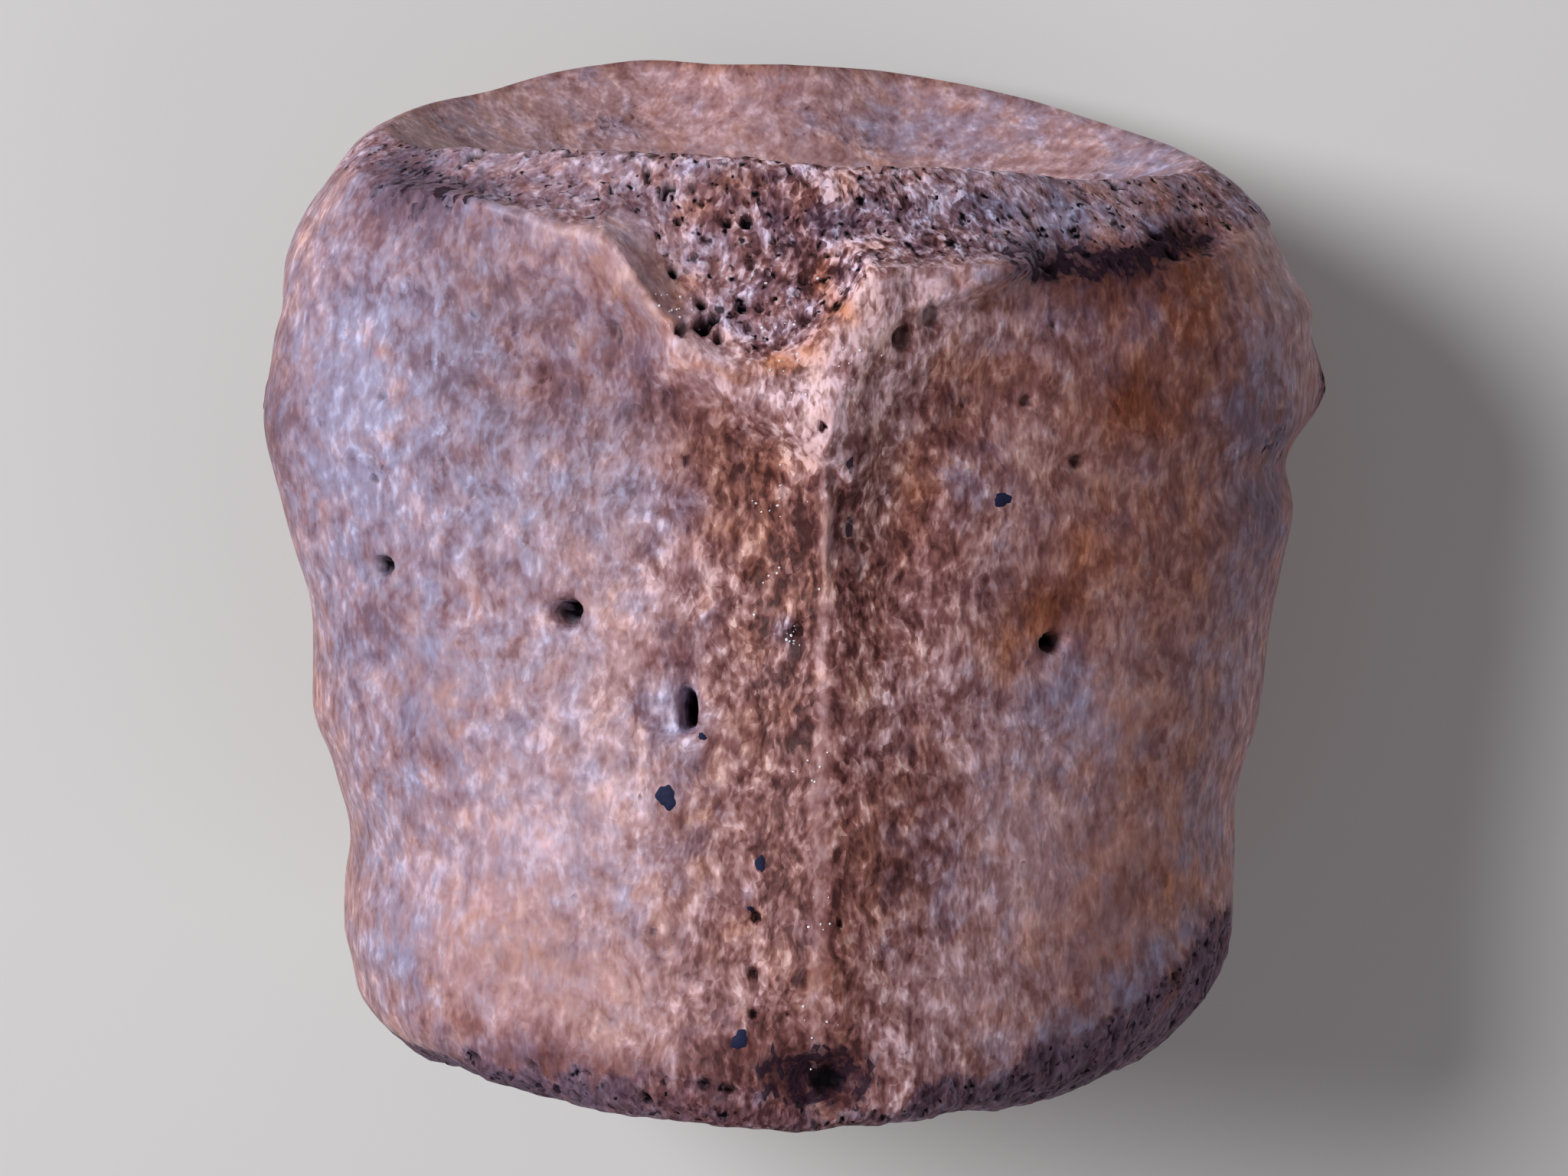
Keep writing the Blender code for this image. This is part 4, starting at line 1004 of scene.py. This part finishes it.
def mineralised_bone(tree, colours):
    """Mineralised bone: dense outer bone takes a satin skin, and the spongy inside stays dull."""
    place = place_in_mm(tree)
    parts = {}
    for name in ("bare", "pore", "near keel", *PATCHES):
        parts[name] = add_node(tree, "Attribute", attribute_name=name).outputs["Fac"]
    grain_place = swayed_place(tree, place, *GRAIN_SWAY)
    for name, (scale, detail, rough) in NOISES.items():
        drawn = add_node(tree, "Mapping", {"Vector": grain_place, "Scale": scale}).outputs[0]
        inputs = {"Vector": drawn, "Scale": 1.0, "Detail": detail, "Roughness": rough}
        parts[name] = add_node(tree, "TexNoise", inputs).outputs["Fac"]
    for name, scale in CELLS.items():
        drawn = add_node(tree, "Mapping", {"Vector": grain_place, "Scale": scale}).outputs[0]
        parts[name] = add_node(tree, "TexVoronoi", {"Vector": drawn, "Scale": 1.0}).outputs["Color"]

    # The noises, each group about 0, swing widest by the keel and in the spongy bone
    sums = {}
    for name, (total, weights) in SUMS.items():
        for part, weight in weights:
            inputs = {0: parts[part], 1: weight, 2: total}
            total = add_node(tree, "Math", inputs, operation="MULTIPLY_ADD").outputs[0]
        sums[name] = total
    tone = sums["tone"]
    for group in ("broad", "fine"):
        inputs = {0: sums[group + " swing"], 1: sums[group + " reach"], 2: tone}
        tone = add_node(tree, "Math", inputs, operation="MULTIPLY_ADD").outputs[0]

    # The dark film takes the grime colour, both for dark dirt and for painted shade
    toned = {"film_and_shade": (*colours.grime_and_shade, 1)}
    for name, stops in TONES.items():
        ramp = add_node(tree, "ValToRGB", {"Fac": tone})
        for number, (share, colour) in enumerate(stops):
            made = ramp.color_ramp.elements
            stop = made[number] if number < 2 else made.new(share)
            stop.position = share
            stop.color = (*getattr(colours, colour), 1)
        toned[name] = ramp.outputs["Color"]
    shares = {}
    for name, (start, full, most) in STAINS.items():
        inputs = {"Value": sums[name], "From Min": start, "From Max": full, "To Max": most}
        shares[name] = add_node(tree, "MapRange", inputs).outputs[0]

    # Fine pores, painted dark as shade, in some cells of the bare spongy bone
    pore_place = swayed_place(tree, place, *PORE_SWAY)
    pores = parts["pore"]
    for scale, radius in FINE_PORES:
        cells = add_node(tree, "TexVoronoi", {"Vector": pore_place, "Scale": scale}).outputs
        hole = parts["bare"]
        wall = [radius * share for share in FINE_PORE_EDGE]
        for part, (start, full) in (("Distance", wall), ("Color", POROUS_CELLS)):
            inputs = {"Value": cells[part], "From Min": start, "From Max": full}
            inside = add_node(tree, "MapRange", inputs).outputs[0]
            hole = add_node(tree, "Math", {0: hole, 1: inside}, operation="MULTIPLY").outputs[0]
        pores = add_node(tree, "Math", {0: pores, 1: hole}, operation="MAXIMUM").outputs[0]

    # Warm tones throughout, with stains, a lilac bloom that on the left flank also paints the cool tint of
    # the light, the dark film of dirt and painted shade, and the pores, painted dark as shade, over them in
    # turn
    layers = [(shares[name], toned[name]) for name in STAINS] + [(pores, (*colours.pore, 1))]
    colour = toned["warm"]
    for share, over in layers:
        inputs = {"Factor": share, 6: colour, 7: over}
        colour = add_node(tree, "Mix", inputs, data_type="RGBA").outputs[2]

    # Satin where dense and worn smooth, duller in the spongy bone
    satin = add_node(tree, "MapRange", {"Value": parts["mottle"], **SATIN}).outputs[0]
    inputs = {0: parts["bare"], 1: SPONGY_ROUGHER, 2: satin}
    roughness = add_node(tree, "Math", inputs, operation="MULTIPLY_ADD").outputs[0]

    # Pale rubbed bone shines most, dark grains and spongy bone little, the dark film with its painted shade
    # and the pores painted dark as shade hardly
    shine = add_node(tree, "MapRange", {"Value": tone, **SHINE}).outputs[0]
    dull = add_node(tree, "Math", {0: parts["bare"], 1: SPONGY_DULLNESS}, operation="MULTIPLY").outputs[0]
    for part in (shares["film_and_shade"], pores):
        dull = add_node(tree, "Math", {0: dull, 1: part}, operation="MAXIMUM").outputs[0]
    inputs = {"Value": dull, "To Min": shine, "To Max": DULLEST_SHINE}
    specular = add_node(tree, "MapRange", inputs).outputs[0]

    # Grains and the mottle stand up, and the fine pores sink
    inputs = {0: parts["speck"], 1: sums["fine reach"]}
    relief = add_node(tree, "Math", inputs, operation="MULTIPLY").outputs[0]
    inputs = {0: pores, 1: PORES_SINK, 2: relief}
    relief = add_node(tree, "Math", inputs, operation="MULTIPLY_ADD").outputs[0]
    normal = add_node(tree, "Bump", {"Height": relief, **GRAIN_BUMP}).outputs[0]
    normal = add_node(tree, "Bump", {"Height": parts["mottle"], "Normal": normal, **MOTTLE_BUMP}).outputs[0]
    inputs = {"Base Color": colour, "Roughness": roughness, "IOR": 1.5}
    inputs.update({"Specular IOR Level": specular, "Normal": normal})
    return inputs


def blue_phosphate(tree, colours):
    """Blue-grey phosphate that filled small openings: dense and earthy, so it hardly shines."""
    inputs = {"Vector": place_in_mm(tree), "Scale": 4.0, "Detail": 4.0}
    cloud = add_node(tree, "TexNoise", inputs).outputs["Fac"]
    inputs = {"Factor": cloud, 6: (*colours.blue_dark, 1), 7: (*colours.blue_light, 1)}
    colour = add_node(tree, "Mix", inputs, data_type="RGBA").outputs[2]
    normal = add_node(tree, "Bump", {"Height": cloud, **EARTHY_BUMP}).outputs[0]
    return {"Base Color": colour, "Roughness": 0.7, "Specular IOR Level": 0.15, "Normal": normal}


def calcite(tree, colours):
    """Clear calcite grains: glassy, so that they glint."""
    return {"Base Color": (*colours.crystal, 1), "Roughness": 0.12, "IOR": 1.6}


def floor_paint(tree, colours):
    """Matt pale paint of the studio floor."""
    return {"Base Color": (*colours.floor, 1), "Roughness": 0.9}


def read_points(mesh, what="co"):
    points = np.empty(len(mesh.vertices) * 3)
    mesh.vertices.foreach_get(what, points)
    return points.reshape(-1, 3)


def write_points(mesh, points):
    mesh.vertices.foreach_set("co", points.ravel())
    mesh.update()


def keep_field(mesh, name, values):
    field = mesh.attributes.new(name, "FLOAT", "POINT")
    field.data.foreach_set("value", np.clip(values, 0.0, 1.0).astype(np.float32))


def apply_place(thing):
    bpy.ops.object.select_all(action="DESELECT")
    thing.select_set(True)
    bpy.context.view_layer.objects.active = thing
    bpy.ops.object.transform_apply(location=True, rotation=True, scale=True)


def join_as(things, name):
    bpy.ops.object.select_all(action="DESELECT")
    for thing in things:
        thing.select_set(True)
    bpy.context.view_layer.objects.active = things[0]
    bpy.ops.object.join()
    joined = bpy.context.view_layer.objects.active
    joined.name = name
    joined.data.name = name
    return joined


def place_on_bone(x, y):
    """Place and normal of the bone's skin under x, y of the body's own middle."""
    bone = bpy.data.objects["centrum_skin"]
    shift = Vector(bone["middle"])
    start = Vector((x * MM - shift.x, y * MM - shift.y, 2.0 * KEEL_PLANE_HEIGHT))
    hit, place, normal, _ = bone.ray_cast(start, (0.0, 0.0, -1.0))
    if not hit:
        raise RuntimeError(f"no bone under {x}, {y}")
    return place, normal


def length_property(name, description, value):
    return bpy.props.FloatProperty(
        name=name, description=description, default=value, precision=5, unit="LENGTH"
    )


def colour_property(name, description, hex_colour):
    return bpy.props.FloatVectorProperty(
        name=name, description=description, default=linear(hex_colour), min=0.0, max=1.0, subtype="COLOR"
    )


class FossilSizes(bpy.types.PropertyGroup):
    """Sizes of the finish and place of the camera."""

    keel_height: length_property("Keel height", "How far the keel stands up", 0.85 * MM)
    keel_half_width: length_property("Keel half width", "Half width of the crest", 0.42 * MM)
    ridge_height: length_property("Ridge height", "How far the ridges of the fork stand up", 1.2 * MM)
    ridge_half_width: length_property("Ridge half width", "Half width of the ridges", 0.85 * MM)
    bare_reach: length_property("Worn edge", "Width over which the worn bone falls away", 0.75 * MM)
    pore_spacing: length_property("Pore spacing", "Distance between large pores", 1.0 * MM)
    pore_depth: length_property("Pore depth", "Depth of the pores", 0.32 * MM)
    crystal_size: length_property("Crystal size", "Width of the largest crystal grains", 0.11 * MM)
    camera_distance: length_property("Camera distance", "From the keel to the camera", 155.0 * MM)
    camera_tilt: bpy.props.FloatProperty(
        name="Camera tilt", description="From straight down", default=math.radians(7.0), subtype="ANGLE"
    )


class FossilColours(bpy.types.PropertyGroup):
    """Colours of the finish, written as sRGB hex values."""

    darkest: colour_property("Darkest", "Darkest grains", "#472827")
    umber: colour_property("Umber", "Dark grain by the keel", "#643d3d")
    brown: colour_property("Brown", "Stained outer bone", "#885c5c")
    tan: colour_property("Tan", "Common outer bone", "#b1898c")
    cream: colour_property("Cream", "Palest outer bone", "#eac5ce")
    ochre_brown: colour_property("Ochre, brown", "Stained bone, yellower", "#8d5a4e")
    ochre: colour_property("Ochre", "Common ochre stain", "#b88779")
    ochre_pale: colour_property("Ochre, pale", "Palest ochre stain", "#f2c5b6")
    # The lilac tones paint a bloom, and on the left flank also the cool tint of the light from the left
    lilac_dark: colour_property("Lilac, dark", "Bloom in the dark", "#3e2b37")
    lilac_brown: colour_property("Lilac, middle", "Bloom on brown", "#786072")
    lilac: colour_property("Lilac", "Grey-lilac bloom", "#9a91ac")
    lilac_pale: colour_property("Lilac, pale", "Palest bloom", "#cfcbec")
    rust_dark: colour_property("Rust, dark", "Darkest iron stain", "#441e14")
    rust: colour_property("Rust", "Iron stain", "#844a36")
    rust_pale: colour_property("Rust, pale", "Palest iron stain", "#d79174")
    # Grime is the colour of the dark manganese film and of the shade painted into recesses with it
    grime_and_shade: colour_property("Grime", "Dark manganese film", "#291925")
    # The pore colour is painted shade inside the pores, the vessel openings and the pit at the keel's end
    pore: colour_property("Pore", "Inside of the pores", "#0d090c")
    blue_dark: colour_property("Blue, dark", "Phosphate fill", "#12132a")
    blue_light: colour_property("Blue, light", "Phosphate fill", "#262a4a")
    crystal: colour_property("Crystal", "Calcite grains", "#f1eef0")
    floor: colour_property("Floor", "Studio floor", "#d5d3d0")


class FOSSIL_OT_centrum(bpy.types.Operator):
    """Models the skin of the bone from a sphere whose rings and columns are carried onto it"""

    bl_idname = "fossil.centrum"
    bl_label = "Bone"

    def execute(self, context):
        sizes = context.scene.fossil_sizes
        bpy.ops.object.select_all(action="DESELECT")
        bpy.ops.mesh.primitive_uv_sphere_add(segments=COLUMNS // 2, ring_count=RINGS // 2, radius=1.0)
        bone = context.object
        bone.name = "centrum_skin"
        bpy.ops.object.mode_set(mode="EDIT")
        bpy.ops.mesh.select_all(action="SELECT")
        bpy.ops.mesh.subdivide(number_cuts=1)
        bpy.ops.object.mode_set(mode="OBJECT")
        mesh = bone.data
        mesh.name = "centrum_skin"
        sphere = read_points(mesh)
        sphere = sphere / np.linalg.norm(sphere, axis=1)[:, None]
        ring = np.round(np.arccos(np.clip(sphere[:, 2], -1.0, 1.0)) / math.pi * RINGS)
        # The sphere's Z becomes the bone's Y, so its X is turned round to keep the faces pointing out
        column = np.round(np.arctan2(-sphere[:, 0], sphere[:, 1]) / (2 * math.pi) * COLUMNS)
        side = np.where(column < 0, -1, 1)
        points, places = bone_surface(ring, np.abs(column) / (COLUMNS / 2), side, sizes)
        write_points(mesh, points)

        bare = bare_bone_mask(points, places)
        offset, pore = fine_relief(points, places, bare, sizes)
        fields = colour_fields(points, places, bare, sizes)
        low, high = points.min(axis=0), points.max(axis=0)
        middle = np.array([0.5 * (low[0] + high[0]), 0.5 * (low[1] + high[1]), low[2]])
        points = points + read_points(mesh, "normal") * offset[:, None]
        points[:, 2] = np.maximum(points[:, 2], 0.0)
        write_points(mesh, points - middle)
        bone["middle"] = tuple(middle)

        keep_field(mesh, "bare", bare)
        # The pore field marks where shade is painted in pores, vessel openings and the pit at the keel's
        # end
        keep_field(mesh, "pore", pore)
        for name, values in fields.items():
            keep_field(mesh, name, values)
        bpy.ops.object.shade_smooth()
        colours = context.scene.fossil_colours
        mesh.materials.append(make_material("mineralised bone", mineralised_bone, colours))
        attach(bone, "root")
        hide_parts("centrum")
        return {"FINISHED"}


class FOSSIL_OT_blue_fills(bpy.types.Operator):
    """Sets thin blue-grey mineral fills into the surface"""

    bl_idname = "fossil.blue_fills"
    bl_label = "Blue fills"

    def execute(self, context):
        fills = []
        for number, (x, y, across, along_bone, turn) in enumerate(BLUE_FILLS):
            place, normal = place_on_bone(x, y)
            bpy.ops.object.select_all(action="DESELECT")
            bpy.ops.mesh.primitive_ico_sphere_add(subdivisions=4, radius=1.0)
            fill = context.object
            points = read_points(fill.data)
            angle = np.arctan2(points[:, 1], points[:, 0])
            ragged = 1.0
            for waves, turned, height in FILL_WAVES:
                ragged = ragged + height * np.sin(waves * angle + turned * number)
            points[:, 0] *= across * MM * ragged
            points[:, 1] *= along_bone * MM * ragged
            points[:, 2] *= FILL_HALF_THICKNESS
            write_points(fill.data, points)
            tilt = normal.to_track_quat("Z", "Y").to_matrix() @ Matrix.Rotation(math.radians(turn), 3, "Z")
            fill.matrix_world = Matrix.Translation(place - normal * FILL_SUNK) @ tilt.to_4x4()
            apply_place(fill)
            fills.append(fill)
        joined = join_as(fills, "blue_fills")
        bpy.ops.object.shade_smooth()
        colours = context.scene.fossil_colours
        joined.data.materials.append(make_material("blue phosphate fill", blue_phosphate, colours))
        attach(joined, "root")
        return {"FINISHED"}


class FOSSIL_OT_crystals(bpy.types.Operator):
    """Scatters clear crystal grains in the pores and beside the keel"""

    bl_idname = "fossil.crystals"
    bl_label = "Crystal grains"

    def execute(self, context):
        draw = np.random.default_rng(CRYSTAL_SEED)
        size = context.scene.fossil_sizes.crystal_size
        bpy.ops.object.select_all(action="DESELECT")
        bpy.ops.mesh.primitive_ico_sphere_add(subdivisions=1, radius=0.5)
        first = context.object
        grains = [first]
        for cx, cy, spread, count in CRYSTAL_CLUSTERS:
            for _ in range(count):
                grain = first.copy()
                grain.data = first.data.copy()
                context.collection.objects.link(grain)
                dx, dy = draw.normal(0.0, spread / 2, 2)
                place, normal = place_on_bone(cx + dx, cy + dy)
                widths = size * draw.uniform(*CRYSTAL_SIZES) * draw.uniform(*CRYSTAL_STRETCH, 3)
                turned = Matrix.Rotation(draw.uniform(0.0, math.pi), 4, "X")
                turned = turned @ Matrix.Rotation(draw.uniform(0.0, math.pi), 4, "Z")
                sunk = Matrix.Translation(place + normal * CRYSTAL_STANDS * size)
                grain.data.transform(sunk @ turned @ Matrix.Diagonal((*widths, 1.0)))
                grains.append(grain)
        grains.remove(first)
        bpy.data.objects.remove(first, do_unlink=True)
        joined = join_as(grains, "crystal_grains")
        colours = context.scene.fossil_colours
        joined.data.materials.append(make_material("calcite grains", calcite, colours))
        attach(joined, "root")
        return {"FINISHED"}


class FOSSIL_OT_stage(bpy.types.Operator):
    """Sets the pale floor, the soft lights and the camera"""

    bl_idname = "fossil.stage"
    bl_label = "Stage"

    def execute(self, context):
        scene = context.scene
        sizes = scene.fossil_sizes
        bpy.ops.object.select_all(action="DESELECT")
        bpy.ops.mesh.primitive_plane_add(size=FLOOR_SIZE)
        floor = context.object
        floor.name = "studio_floor"
        floor.data.materials.append(make_material("matt floor paint", floor_paint, scene.fossil_colours))

        for name, place, size, power, colour in LIGHTS:
            bpy.ops.object.light_add(type="AREA", location=place)
            light = context.object
            light.name = name
            light.data.shape = "DISK"
            light.data.size = size
            light.data.energy = power
            light.data.color = colour
            aim = Vector((0.0, 0.0, 0.5 * KEEL_PLANE_HEIGHT)) - Vector(place)
            light.rotation_euler = aim.to_track_quat("-Z", "Y").to_euler()

        world = bpy.data.worlds.new("studio")
        scene.world = world
        world.use_nodes = True
        background = world.node_tree.nodes["Background"]
        background.inputs["Color"].default_value = WORLD_COLOUR
        background.inputs["Strength"].default_value = WORLD_STRENGTH

        middle = Vector(bpy.data.objects["centrum_skin"]["middle"])
        target = Vector((FRAME_MIDDLE_X, 0.0, KEEL_PLANE_HEIGHT)) - middle
        back = Vector((0.0, math.sin(sizes.camera_tilt), math.cos(sizes.camera_tilt)))
        up = Vector((0.0, math.cos(sizes.camera_tilt), -math.sin(sizes.camera_tilt)))
        bpy.ops.object.camera_add()
        camera = context.object
        camera.name = "photo_camera"
        turned = Matrix((Vector((1.0, 0.0, 0.0)), up, back)).transposed().to_4x4()
        camera.matrix_world = Matrix.Translation(target + back * sizes.camera_distance) @ turned
        seen_width = PHOTO_WIDTH * MM_PER_PIXEL * MM
        camera.data.lens = camera.data.sensor_width * sizes.camera_distance / seen_width
        camera.data.clip_start = 0.005
        camera.data.clip_end = 10.0
        scene.camera = camera
        scene.view_settings.view_transform = "Standard"
        return {"FINISHED"}


class FOSSIL_PT_panel(bpy.types.Panel):
    """Lists the pieces of the fossil and their sizes and colours"""

    bl_idname = "FOSSIL_PT_panel"
    bl_label = "Fossil vertebra"
    bl_space_type = "VIEW_3D"
    bl_region_type = "UI"
    bl_category = "Fossil"

    def draw(self, context):
        for operator in PIECES:
            self.layout.operator(operator.bl_idname)
        for group in (context.scene.fossil_sizes, context.scene.fossil_colours):
            for name in group.__annotations__:
                self.layout.prop(group, name)


PIECES = (FOSSIL_OT_centrum, FOSSIL_OT_blue_fills, FOSSIL_OT_crystals, FOSSIL_OT_stage)
CLASSES = (FossilSizes, FossilColours, *PIECES, FOSSIL_PT_panel)


def register():
    for item in CLASSES:
        bpy.utils.register_class(item)
    bpy.types.Scene.fossil_sizes = bpy.props.PointerProperty(type=FossilSizes)
    bpy.types.Scene.fossil_colours = bpy.props.PointerProperty(type=FossilColours)


def unregister():
    del bpy.types.Scene.fossil_colours
    del bpy.types.Scene.fossil_sizes
    for item in reversed(CLASSES):
        bpy.utils.unregister_class(item)


def main():
    register()
    bpy.ops.fossil.centrum()
    bpy.ops.fossil.blue_fills()
    bpy.ops.fossil.crystals()
    bpy.ops.fossil.stage()


if __name__ == "__main__":
    main()
